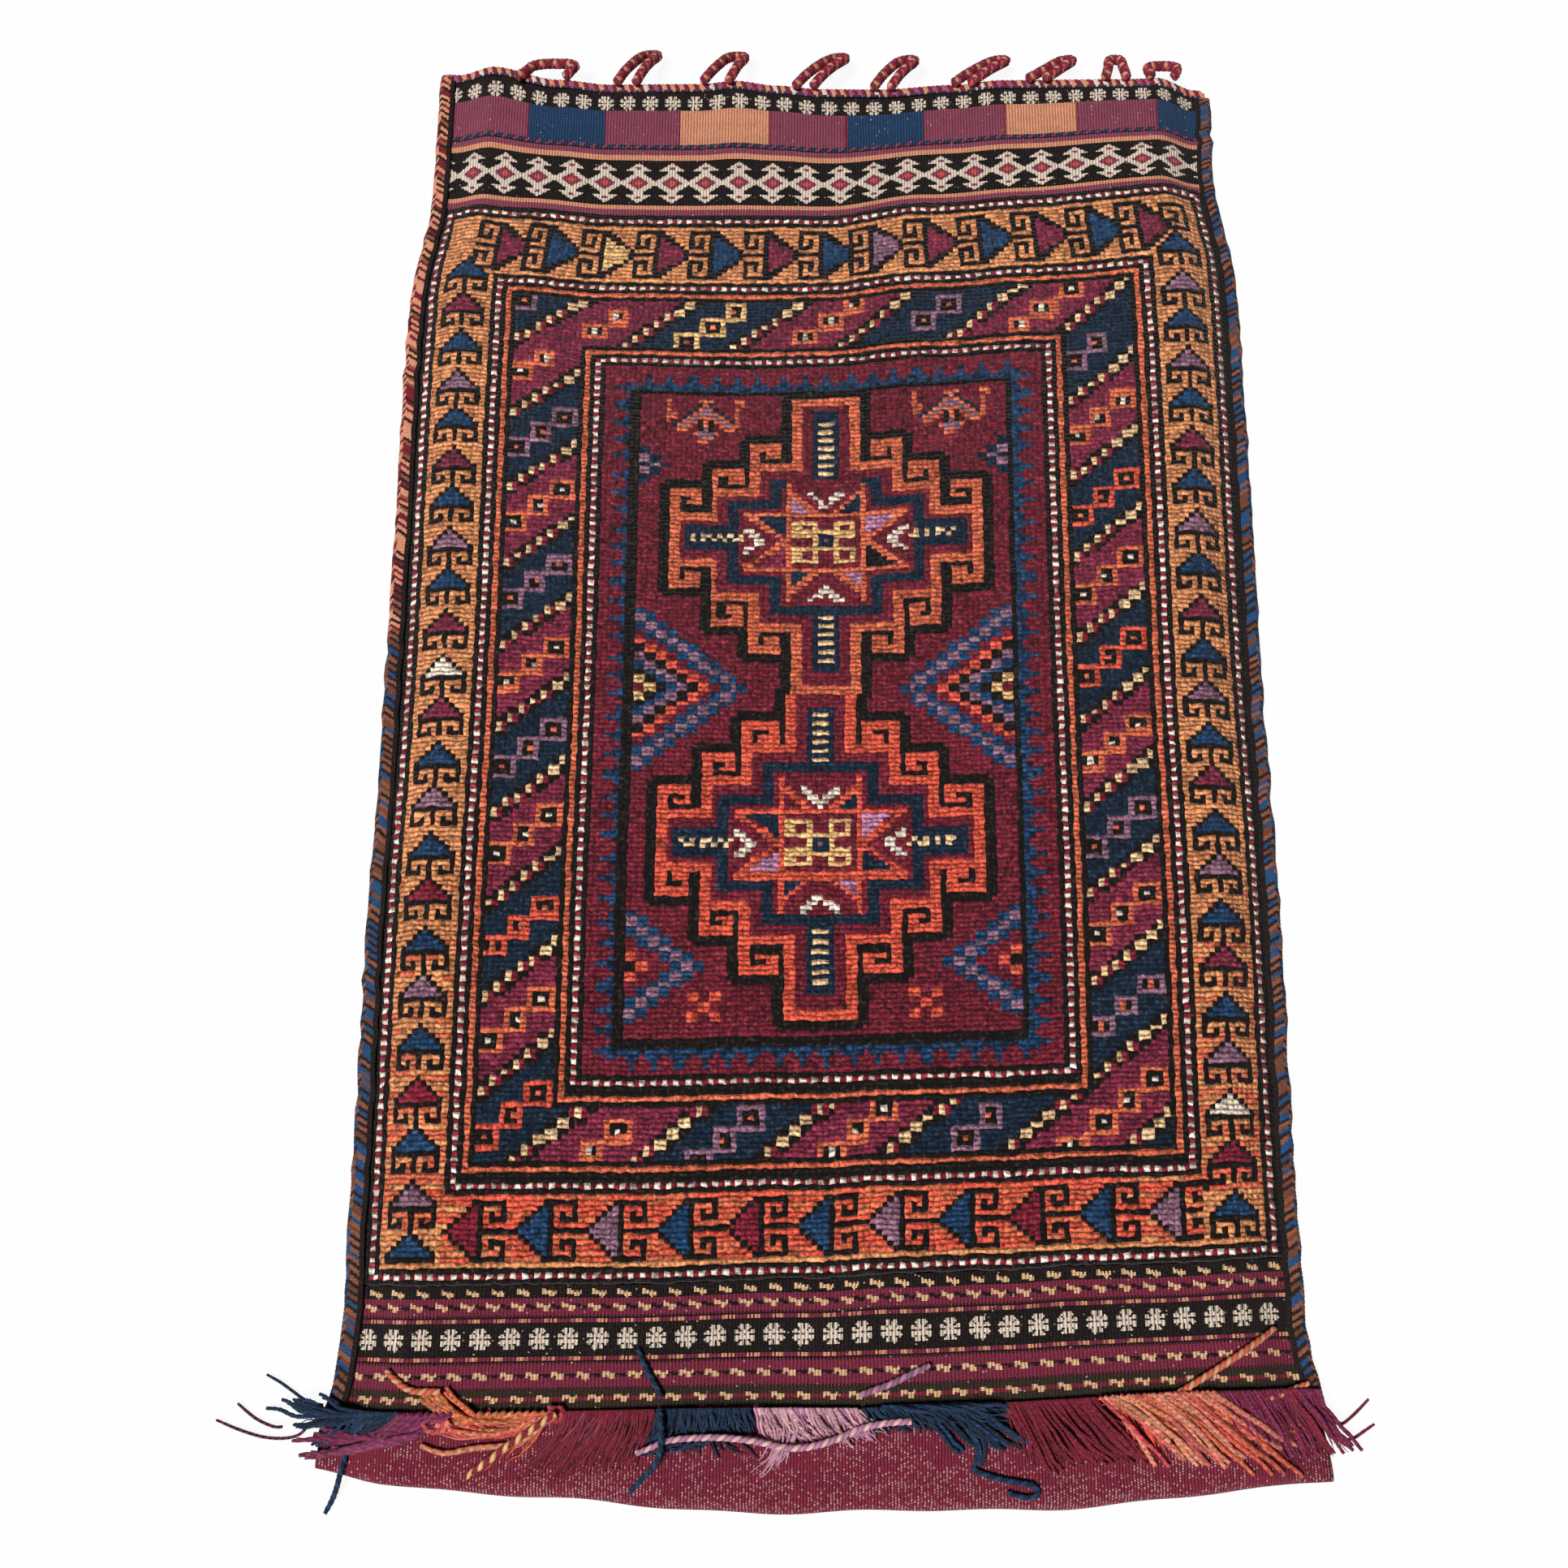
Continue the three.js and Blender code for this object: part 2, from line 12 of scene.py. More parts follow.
import bpy
import numpy as np
from mathutils import Matrix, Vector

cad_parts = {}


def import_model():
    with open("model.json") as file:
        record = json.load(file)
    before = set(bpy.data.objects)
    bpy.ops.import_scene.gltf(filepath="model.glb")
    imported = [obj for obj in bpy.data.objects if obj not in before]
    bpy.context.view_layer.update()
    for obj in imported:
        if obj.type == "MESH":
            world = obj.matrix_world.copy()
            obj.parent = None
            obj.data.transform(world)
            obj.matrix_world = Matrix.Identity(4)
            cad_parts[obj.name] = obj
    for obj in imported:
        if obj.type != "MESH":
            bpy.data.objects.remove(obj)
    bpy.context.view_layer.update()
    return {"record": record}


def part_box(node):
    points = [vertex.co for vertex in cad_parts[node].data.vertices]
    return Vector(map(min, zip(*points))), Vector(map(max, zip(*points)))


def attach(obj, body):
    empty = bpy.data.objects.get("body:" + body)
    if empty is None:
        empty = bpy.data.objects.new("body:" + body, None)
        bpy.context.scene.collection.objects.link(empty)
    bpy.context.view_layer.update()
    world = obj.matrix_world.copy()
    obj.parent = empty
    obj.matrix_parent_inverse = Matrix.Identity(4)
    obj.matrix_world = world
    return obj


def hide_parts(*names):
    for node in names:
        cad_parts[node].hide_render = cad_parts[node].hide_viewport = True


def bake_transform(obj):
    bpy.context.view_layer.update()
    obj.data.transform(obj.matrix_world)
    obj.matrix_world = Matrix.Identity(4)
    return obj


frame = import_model()
LOG = logging.getLogger("pillow_bag")
MM = 0.001
Array = np.ndarray


def smooth(value: Array) -> Array:
    """Ease from 0 to 1: three squares less two cubes of the value, held between 0 and 1."""
    held = np.clip(value, 0.0, 1.0)
    return held * held * (3.0 - 2.0 * held)


def eased(stations: tuple[tuple[float, float], ...], place: Array) -> Array:
    """Value between named stations, eased from each to the next.

    Args:
        stations: Pairs of place and value, in rising order of place.
        place: Where the value is asked for.

    Returns:
        The values, with the shape of place.
    """
    places, values = np.array(stations, dtype=float).T
    following = np.clip(np.searchsorted(places, place, side="right"), 1, len(places) - 1)
    share = smooth((place - places[following - 1]) / (places[following] - places[following - 1]))
    return values[following - 1] + (values[following] - values[following - 1]) * share


def linear(hexes: str) -> Array:
    """Linear red, green and blue of a colour written as six hex digits."""
    encoded = np.array([int(hexes[i:i + 2], 16) for i in (0, 2, 4)]) / 255.0
    return np.where(encoded <= 0.04045, encoded / 12.92, ((encoded + 0.055) / 1.055) ** 2.4)


class Dye(Enum):
    """Colours of the wool, as they look in daylight."""

    NIGHT = "170e0d"
    CREAM = "e8d5c1"
    BUTTER = "e9b577"
    APRICOT = "d88b5a"
    CORAL = "dc5640"
    ORANGE = "d46747"
    PLUM = "7e273f"
    WINE = "721d2d"
    NAVY = "122539"
    BLUE = "1b3e63"
    LILAC = "b87c9e"
    MAUVE = "8d6478"
    MAROON = "841e33"
    OLIVE = "33271c"
    RUST = "86503a"
    BLUSH = "e0a58c"
    CLOTH = "86263c"
    STRAW = "e5bb8c"
    ROSE = "8e4459"
    SALMON = "de9674"
    PINK = "e2b2b2"
    ROSY = "d64d55"
    GRAPE = "84305c"

    @property
    def tone(self) -> Array:
        """The dye's linear colour."""
        return linear(self.value)


DYES = tuple(Dye)
TONES = np.array([dye.tone for dye in DYES])


def number(dye: Dye) -> int:
    """Place of a dye in the list of dyes."""
    return DYES.index(dye)


@dataclass(frozen=True)
class Plan:
    """Plan and heights of the bag, with the sizes of its solids."""

    pile_length: float = 764.0
    lower_band: float = 73.0
    upper_band: float = 112.0
    apron: float = 40.0
    apron_bow: float = 20.0
    hem_width: float = 614.0
    widths: tuple = ((-133.0, 614.0), (-113.0, 614.0), (-34.38, 590.0), (305.6, 604.0),
                     (687.6, 618.0), (779.28, 598.0), (876.0, 602.0))
    back: float = 2.5
    front: float = 3.5
    pile: float = 5.5
    wrap: float = 1.5
    clear: float = 0.3
    pocket: float = 12.0
    gape: float = 13.0
    shoulder: float = 34.0
    mouth_run: float = 90.0
    binding: float = 12.0
    binding_wall: float = 3.0
    roll: float = 6.0
    roll_wall: float = 2.0
    tuck: float = 3.3
    bed_edge: float = 4.4
    bed_slope: float = 23.0
    woven_lines: tuple = (
        (-133.0, ((-307.0, -2.0), (0.0, 2.0), (307.0, 2.0))),
        (-73.0, ((-291.0, -6.8), (0.0, -1.5), (284.0, 10.8))),
        (0.0, ((-291.0, -8.0), (-129.0, -5.7), (-9.0, -1.4), (46.0, 2.1), (107.0, 4.4), (155.0, 7.4),
               (194.0, 8.6), (284.0, 13.1))),
        (382.0, ((-291.0, -0.4), (1.0, -3.3), (283.0, 4.0))),
        (764.0, ((-290.0, 5.0), (-225.0, -2.0), (-162.0, -7.4), (-68.0, -9.8), (2.0, -8.9), (76.0, 3.0),
                 (150.0, 9.8), (276.0, 22.0), (304.0, 24.0))),
        (878.0, ((-302.0, 21.0), (-258.0, 17.0), (-205.0, 4.5), (-165.0, 0.0), (-95.0, 0.6), (-68.0, 3.6),
                 (-36.0, -0.8), (-2.0, -4.2), (45.0, -4.4), (100.0, -0.1), (138.0, 4.4), (232.0, 5.4),
                 (272.0, 7.5), (292.0, 6.0), (302.0, -1.0))),
    )

    @property
    def mouth(self) -> float:
        """Level of the mouth."""
        return self.pile_length + self.upper_band

    @property
    def corner(self) -> float:
        """Level of the lower corners."""
        return -self.lower_band - self.apron

    @property
    def lip(self) -> float:
        """How far an overcast edge stands over its cloth."""
        return self.clear + self.wrap

    @property
    def binding_height(self) -> float:
        """Height of the side bindings over the floor."""
        return self.back + self.clear + self.front + self.lip

    def half_width(self, y: Array) -> Array:
        """Half the bag's width over both bindings, at a level."""
        return eased(self.widths, y) / 2.0

    def loft(self, inset: Array, y: Array) -> Array:
        """Space between front and back: shut in the bindings, and eased open to the pocket's height."""
        gaping = smooth((y - (self.mouth - self.mouth_run)) / (self.mouth_run - self.roll))
        full = self.pocket + (self.gape - self.pocket) * gaping
        return self.clear + (full - self.clear) * smooth((inset - self.binding) / self.shoulder)

    def front_bottom(self, inset: Array, y: Array) -> Array:
        """Height of the front cloth's underside."""
        return self.back + self.loft(inset, y)

    def front_top(self, inset: Array, y: Array) -> Array:
        """Height of the front cloth's face."""
        return self.front_bottom(inset, y) + self.front

    def wave(self, x: Array, y: Array) -> Array:
        """How far a woven line has wandered up or down: the woven lines, eased across and joined straight."""
        levels = np.array([level for level, _ in self.woven_lines])
        moves = np.array([eased(stations, np.asarray(x, dtype=float)) for _, stations in self.woven_lines])
        following = np.clip(np.searchsorted(levels, y, side="right"), 1, len(levels) - 1)
        share = np.clip((y - levels[following - 1]) / (levels[following] - levels[following - 1]), 0.0, 1.0)
        before = np.take_along_axis(moves, (following - 1)[None], axis=0)[0]
        after = np.take_along_axis(moves, following[None], axis=0)[0]
        return before + (after - before) * share

    def hem_bow(self, x: Array) -> Array:
        """How far the bottom fold bows out beyond its corners."""
        return self.apron_bow * (1.0 - (x / (self.hem_width / 2.0)) ** 2)

    def yarn_bed(self, x: Array, y: Array) -> Array:
        """Height on which loose yarn lies: apron and bindings, and eased down to the floor beyond them."""
        inset = self.half_width(y) - np.abs(x)
        beyond = np.maximum(np.maximum(0.0, -inset), self.corner - self.hem_bow(x) - y)
        held = np.maximum(inset, 0.0)
        bed = np.maximum(self.binding_height, self.back + self.loft(held, y) + self.back)
        return bed * (1.0 - smooth((beyond - self.bed_edge) / self.bed_slope))


PLAN = Plan()
LOW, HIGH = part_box("pile_panel")
ORIGIN = np.array([(LOW[0] + HIGH[0]) / 2.0, LOW[1], 0.0])
COARSE = 2


def world(points: Array) -> Array:
    """Points in metres in the model's frame, from millimetres on the bag's plan."""
    return np.asarray(points, dtype=float) * MM + ORIGIN


def thinned(grid: Array) -> Array:
    """Points of a grid that the coarser underside of a cloth keeps."""
    return grid[::COARSE, ::COARSE]


def grid_quads(indices: Array) -> Array:
    """Four-cornered faces between the points of a grid, turned up where rows run away and columns right."""
    corners = [indices[:-1, :-1], indices[:-1, 1:], indices[1:, 1:], indices[1:, :-1]]
    return np.stack(corners, axis=-1).reshape(-1, 4)


def tube_faces(rings: int, sides: int) -> tuple[Array, Array]:
    """Faces of a wall of rings, and of its two ends, each a fan round a pole."""
    ring = np.arange(rings * sides).reshape(rings, sides)
    quads = grid_quads(np.concatenate([ring, ring[:, :1]], axis=1))
    first = np.stack([np.full(sides, rings * sides), np.roll(ring[0], -1), ring[0]], axis=-1)
    last = np.stack([np.full(sides, rings * sides + 1), ring[-1], np.roll(ring[-1], -1)], axis=-1)
    return quads, np.concatenate([first, last])


@dataclass
class Skin:
    """Points, faces and the faces' colours of one piece, and an optional map of lengths along its weave."""

    points: Array
    quads: Array
    tones: Array
    triangles: Array = field(default_factory=lambda: np.zeros((0, 3), dtype=int))
    weave: Array | None = None
    fills_image: Array | None = None

    @staticmethod
    def joined(skins: list["Skin"]) -> "Skin":
        """One skin from several."""
        starts = np.cumsum([0] + [len(skin.points) for skin in skins[:-1]])
        quads = np.concatenate([skin.quads + start for skin, start in zip(skins, starts)])
        triangles = np.concatenate([skin.triangles + start for skin, start in zip(skins, starts)])
        tones = np.concatenate(
            [skin.tones[:len(skin.quads)] for skin in skins]
            + [skin.tones[len(skin.quads):] for skin in skins])
        return Skin(np.concatenate([skin.points for skin in skins]), quads, tones, triangles)

    def turned(self) -> "Skin":
        """The same skin with its faces turned over."""
        return Skin(self.points, self.quads[:, ::-1], self.tones, self.triangles[:, ::-1])

    def mesh(self, name: str) -> bpy.types.Mesh:
        """Blender mesh of the skin.

        Args:
            name: The mesh's name.

        Returns:
            The mesh, with its colours in the attribute Dye and its map in the UV layer Weave.
        """
        mesh = bpy.data.meshes.new(name)
        mesh.vertices.add(len(self.points))
        mesh.vertices.foreach_set("co", world(self.points).ravel())
        corners = np.concatenate([self.quads.ravel(), self.triangles.ravel()])
        mesh.loops.add(len(corners))
        mesh.loops.foreach_set("vertex_index", corners)
        repeats = np.concatenate([np.full(len(self.quads), 4), np.full(len(self.triangles), 3)])
        mesh.polygons.add(len(repeats))
        mesh.polygons.foreach_set("loop_start", np.cumsum(repeats) - repeats)
        mesh.update(calc_edges=True)
        mesh.validate()
        # Colours of the faces; on plied yarn and braids they also hold the painted shade and highlight of the
        # strands.
        colours = np.ones((len(corners), 4))
        colours[:, :3] = np.repeat(np.clip(self.tones, 0.0, 1.0), repeats, axis=0)
        layer = mesh.color_attributes.new(name="Dye", type="FLOAT_COLOR", domain="CORNER")
        layer.data.foreach_set("color", colours.ravel())
        for label, uv in (("Weave", self.weave), ("OFBake", self.fills_image)):
            if uv is not None:
                mesh.uv_layers.new(name=label).uv.foreach_set("vector", uv[corners].ravel())
        mesh.shade_smooth()
        return mesh


def shell(over: Array, under: Array, tones: Array, plain: Array) -> Skin:
    """Closed cloth between a fine face and a coarser underside.

    The rims are joined by fans: each run of fine edges meets the coarse point at its start.

    Args:
        over: Grid of points of the face, rows away and columns right.
        under: Grid of points of the underside, thinned from that of the face.
        tones: Colours of the face's quads.
        plain: Colour of the underside and the rims.

    Returns:
        The skin.
    """
    rows, columns = over.shape[:2]
    high = np.arange(rows * columns).reshape(rows, columns)
    low = rows * columns + np.arange(under.shape[0] * under.shape[1]).reshape(under.shape[:2])
    quads = np.concatenate([grid_quads(high), grid_quads(low)[:, ::-1]])
    fine, coarse = (np.array([*g[0, :-1], *g[:-1, -1], *g[-1, :0:-1], *g[:0:-1, 0]]) for g in (high, low))
    fans = np.stack([coarse[np.arange(len(fine)) // COARSE], np.roll(fine, -1), fine], axis=-1)
    ends = np.stack([coarse, np.roll(coarse, -1), np.roll(fine[::COARSE], -1)], axis=-1)
    triangles = np.concatenate([fans, ends])
    rest = np.tile(plain, (len(quads) - len(tones) + len(triangles), 1))
    points = np.concatenate([over.reshape(-1, 3), under.reshape(-1, 3)])
    return Skin(points, quads, np.concatenate([tones, rest]), triangles)


def spline(route: Array, count: int) -> Array:
    """Even points along a smooth curve through a route.

    The curve is a cubic between neighbours, with slopes from the points on both sides by the square root of
    their distance. It is laid out finely and then cut into equal lengths.

    Args:
        route: Points that the curve goes through.
        count: Number of points wanted.

    Returns:
        The points.
    """
    route = np.asarray(route, dtype=float)
    chord = np.linalg.norm(np.diff(route, axis=0), axis=1) ** 0.5
    knots = np.concatenate([[0.0], np.cumsum(chord)])
    slopes = np.gradient(route, knots, axis=0)
    place = np.linspace(0.0, knots[-1], 24 * len(route))
    i = np.clip(np.searchsorted(knots, place, side="right") - 1, 0, len(route) - 2)
    span = (knots[i + 1] - knots[i])[:, None]
    t = ((place - knots[i])[:, None]) / span
    fine = ((2 * t**3 - 3 * t**2 + 1) * route[i] + (t**3 - 2 * t**2 + t) * span * slopes[i]
            + (3 * t**2 - 2 * t**3) * route[i + 1] + (t**3 - t**2) * span * slopes[i + 1])
    return even(fine, count)


def even(line: Array, count: int) -> Array:
    """Points at equal lengths along a line of points."""
    lengths = np.concatenate([[0.0], np.cumsum(np.linalg.norm(np.diff(line, axis=0), axis=1))])
    places = np.linspace(0.0, lengths[-1], count)
    return np.stack([np.interp(places, lengths, line[:, k]) for k in range(3)], axis=-1)


def line_length(line: Array) -> float:
    """Length of a line of points."""
    return float(np.linalg.norm(np.diff(line, axis=0), axis=1).sum())


def tubes(paths: Array, radii: Array, tones: Array) -> Skin:
    """Closed round skins carried along paths, each point at path + radius (cos side + sin over).

    The side direction is level and square to the path, and the end rings are closed by a pole each.

    Args:
        paths: Paths of all tubes, tube by point by 3.
        radii: Radius for tube, point and angle.
        tones: Colours of the walls, tube by point step by angle by 3.

    Returns:
        One skin of all the tubes.
    """
    count, rings, sides = radii.shape
    along = np.gradient(paths, axis=1)
    along /= np.linalg.norm(along, axis=2, keepdims=True) + 1e-9
    side = np.cross(along, np.array([0.0, 0.0, 1.0]))
    side /= np.linalg.norm(side, axis=2, keepdims=True) + 1e-9
    above = np.cross(side, along)
    angle = 2.0 * np.pi * np.arange(sides) / sides
    walls = (paths[:, :, None] + radii[..., None] * (
        np.cos(angle)[:, None] * side[:, :, None] + np.sin(angle)[:, None] * above[:, :, None]))
    points = np.concatenate([walls.reshape(count, -1, 3), paths[:, [0, -1]]], axis=1)
    quads, ends = tube_faces(rings, sides)
    starts = (np.arange(count) * points.shape[1])[:, None, None]
    end_tones = np.concatenate([tones[:, 0], tones[:, -1]], axis=1)
    return Skin(points.reshape(-1, 3), (quads[None, :, ::-1] + starts).reshape(-1, 4),
                np.concatenate([tones.reshape(-1, 3), end_tones.reshape(-1, 3)]),
                (ends[None][..., [0, 2, 1]] + starts).reshape(-1, 3))


class Socket(Enum):
    """Kinds of socket on a node group."""

    NUMBER = "NodeSocketFloat"
    COLOUR = "NodeSocketColor"
    VECTOR = "NodeSocketVector"


@dataclass(frozen=True)
class Signal:
    """What a node puts out. Sums, products and comparisons of signals add Math nodes."""

    wiring: "Wiring"
    socket: bpy.types.NodeSocket

    def __add__(self, other: object) -> "Signal":
        """Sum."""
        return self.wiring.maths("ADD", self, other)

    def __sub__(self, other: object) -> "Signal":
        """Difference."""
        return self.wiring.maths("SUBTRACT", self, other)

    def __rsub__(self, other: object) -> "Signal":
        """Difference from a number."""
        return self.wiring.maths("SUBTRACT", other, self)

    def __mul__(self, other: object) -> "Signal":
        """Product."""
        return self.wiring.maths("MULTIPLY", self, other)

    def __truediv__(self, other: object) -> "Signal":
        """Quotient."""
        return self.wiring.maths("DIVIDE", self, other)

    def __pow__(self, other: object) -> "Signal":
        """Power."""
        return self.wiring.maths("POWER", self, other)

    def __lt__(self, other: object) -> "Signal":
        """One where it is under another, and otherwise zero."""
        return self.wiring.maths("LESS_THAN", self, other)

    def __abs__(self) -> "Signal":
        """Size without sign."""
        return self.wiring.maths("ABSOLUTE", self)

    def at_least(self, other: object) -> "Signal":
        """The greater of two."""
        return self.wiring.maths("MAXIMUM", self, other)

    def humps(self) -> "Signal":
        """One round hump for each whole step: the size of the sine of half turns."""
        return abs(self.wiring.maths("SINE", self * np.pi))


@dataclass
class Wiring:
    """A node tree with short ways to add and join its nodes."""

    tree: bpy.types.NodeTree

    def add(self, kind: str, settings: dict | None = None, **links: object) -> bpy.types.Node:
        """Add a node.

        Args:
            kind: Blender's name of the node.
            settings: Its settings.
            **links: What feeds each input, by its name with _ for a space, or by i and its number.

        Returns:
            The node.
        """
        node = self.tree.nodes.new(kind)
        for name, value in (settings or {}).items():
            setattr(node, name, value)
        for name, value in links.items():
            key = int(name[1:]) if name[0] == "i" and name[1:].isdigit() else name.replace("_", " ")
            self.feed(node.inputs[key], value)
        return node

    def out(self, kind: str, settings: dict | None = None, **links: object) -> Signal:
        """First output of a new node."""
        return Signal(self, self.add(kind, settings, **links).outputs[0])

    def feed(self, socket: bpy.types.NodeSocket, value: object) -> None:
        """Join a socket to another, or set its value."""
        source = value.socket if isinstance(value, Signal) else value
        if isinstance(source, bpy.types.NodeSocket):
            self.tree.links.new(source, socket)
        else:
            socket.default_value = source

    def given(self, name: str) -> Signal:
        """An input of the group."""
        return Signal(self, self.tree.nodes["Group Input"].outputs[name])

    def put(self, name: str, value: Signal) -> None:
        """Join a signal to an output of the group."""
        self.feed(self.tree.nodes["Group Output"].inputs[name], value)

    def maths(self, operation: str, *values: object) -> Signal:
        """Result of a Math node."""
        node = self.tree.nodes.new("ShaderNodeMath")
        node.operation = operation
        for socket, value in zip(node.inputs, values):
            self.feed(socket, value)
        return Signal(self, node.outputs[0])

    def mix(self, blend: str, share: object, first: object, second: object) -> Signal:
        """Result of mixing two colours."""
        node = self.tree.nodes.new("ShaderNodeMix")
        node.data_type, node.blend_type = "RGBA", blend
        for key, value in ((0, share), (6, first), (7, second)):
            self.feed(node.inputs[key], value)
        return Signal(self, node.outputs[2])

    def noise(self, place: object, scale: object, detail: float = 2.0) -> Signal:
        """Value of a Noise node."""
        return self.out("ShaderNodeTexNoise", Vector=place, Scale=scale, Detail=detail)

    def grey(self, light: Signal) -> Signal:
        """A grey of one lightness."""
        return self.out("ShaderNodeCombineColor", Red=light, Green=light, Blue=light)

    def split(self, vector: Signal) -> list[Signal]:
        """The numbers of a vector."""
        return [Signal(self, part) for part in self.add("ShaderNodeSeparateXYZ", Vector=vector).outputs]

    def group(self, name: str, **links: object) -> bpy.types.Node:
        """A node that uses a shared group."""
        return self.add("ShaderNodeGroup", {"node_tree": bpy.data.node_groups[name]}, **links)


def node_group(name: str, inputs: dict[str, tuple[Socket, object]], outputs: dict[str, Socket]) -> Wiring:
    """Empty shader group with its sockets and its two end nodes.

    Args:
        name: The group's name.
        inputs: Kind and first value of each input, where it has one.
        outputs: Kind of each output.

    Returns:
        The wiring of the group.
    """
    tree = bpy.data.node_groups.new(name, "ShaderNodeTree")
    for label, (kind, value) in inputs.items():
        socket = tree.interface.new_socket(name=label, in_out="INPUT", socket_type=kind.value)
        if value is not None:
            socket.default_value = value
    for label, kind in outputs.items():
        tree.interface.new_socket(name=label, in_out="OUTPUT", socket_type=kind.value)
    tree.nodes.new("NodeGroupInput")
    tree.nodes.new("NodeGroupOutput")
    return Wiring(tree)


def fibre_group() -> None:
    """Wool fibres: fine and coarse mottling of a dye, tips paler partly from fading and partly as painted
    highlight, and their height.
    """
    wiring = node_group(
        "wool_fibre",
        {"Dye": (Socket.COLOUR, None), "Place": (Socket.VECTOR, None), "Fineness": (Socket.NUMBER, 900.0),
         "Mottle": (Socket.NUMBER, 0.3), "Fading": (Socket.NUMBER, 0.15)},
        {"Colour": Socket.COLOUR, "Height": Socket.NUMBER})
    coarser, fade_and_highlight = 0.07, (0.62, 0.48, 0.42, 1.0)
    fine = wiring.noise(wiring.given("Place"), wiring.given("Fineness"), 3.0)
    coarse = wiring.noise(wiring.given("Place"), wiring.given("Fineness") * coarser, 2.0)
    swing = (fine - 0.5) * wiring.given("Mottle")
    light = (swing * 2.2 + (coarse - 0.5) * 0.35) + 1.0
    toned = wiring.mix("MULTIPLY", 1.0, wiring.given("Dye"), wiring.grey(light))
    tip = wiring.maths("SMOOTH_MIN", (fine - 0.56).at_least(0.0) * 6.0, 1.0, 0.1) * wiring.given("Fading")
    wiring.put("Colour", wiring.mix("MIX", tip, toned, fade_and_highlight))
    wiring.put("Height", fine)


def rib_group() -> None:
    """Ribs of a weave: rounded warps across U and finer wefts along V, with painted shade in the gaps between
    them and painted highlight on their tops.
    """
    wiring = node_group(
        "woven_rib",
        {"Dye": (Socket.COLOUR, None), "Map": (Socket.VECTOR, None), "Warp": (Socket.NUMBER, 2.2),
         "Weft": (Socket.NUMBER, 0.9), "Offset": (Socket.NUMBER, 0.5), "Depth": (Socket.NUMBER, 0.5)},
        {"Colour": Socket.COLOUR, "Height": Socket.NUMBER, "Threads": Socket.VECTOR})
    u, v, _ = wiring.split(wiring.given("Map"))
    stray = (wiring.noise(wiring.given("Map"), 0.12) - 0.5) * (wiring.given("Warp") * 0.7)
    across = (u + stray) / wiring.given("Warp")
    turn = wiring.maths("FLOOR", across) * wiring.given("Offset")
    run = (v + stray) / wiring.given("Weft") + turn
    height = across.humps() ** 0.9 * (run.humps() ** 0.7 * 0.45 + 0.55)
    # Painted shade and highlight: the dye is darkened in the gaps between threads and lightened on their
    # tops.
    light = (1.36 - wiring.given("Depth")) + height * wiring.given("Depth")
    wiring.put("Colour", wiring.mix("MULTIPLY", 1.0, wiring.given("Dye"), wiring.grey(light)))
    wiring.put("Height", height)
    wiring.put("Threads", wiring.out("ShaderNodeCombineXYZ", X=across, Y=run, Z=0.0))


def fleck_group() -> None:
    """Pale warps, as ticks between the wefts where the cloth has worn, in patches and near the hem."""
    wiring = node_group(
        "pale_fleck",
        {"Dye": (Socket.COLOUR, None), "Map": (Socket.VECTOR, None), "Threads": (Socket.VECTOR, None),
         "Share": (Socket.NUMBER, 0.2), "Hem": (Socket.NUMBER, 0.0),
         "Tone": (Socket.COLOUR, (0.8, 0.7, 0.6, 1.0))},
        {"Colour": Socket.COLOUR})
    wear_start, wear_end = -30.0, -62.0
    cell = wiring.out("ShaderNodeVectorMath", {"operation": "FLOOR"}, i0=wiring.given("Threads"))
    chance = wiring.out("ShaderNodeTexWhiteNoise", {"noise_dimensions": "2D"}, Vector=cell)
    patch = wiring.noise(wiring.given("Map"), 0.028, 3.0)
    often = (patch - 0.34).at_least(0.0) * (wiring.given("Share") * 6.0)
    worn = wiring.out("ShaderNodeMapRange", {"interpolation_type": "SMOOTHSTEP"},
                      Value=wiring.split(wiring.given("Map"))[1], i1=wear_start, i2=wear_end)
    often = often + worn * wiring.given("Hem")
    inside = wiring.out("ShaderNodeVectorMath", {"operation": "FRACTION"}, i0=wiring.given("Threads"))
    across, along = (abs(part - 0.5) for part in wiring.split(inside)[:2])
    tick = (across * 1.4).at_least(along) < 0.34
    faint = wiring.maths("FRACT", chance * 57.0) * 0.6 + 0.2
    shown = ((chance < often) * tick) * faint
    wiring.put("Colour", wiring.mix("MIX", shown, wiring.given("Dye"), wiring.given("Tone")))


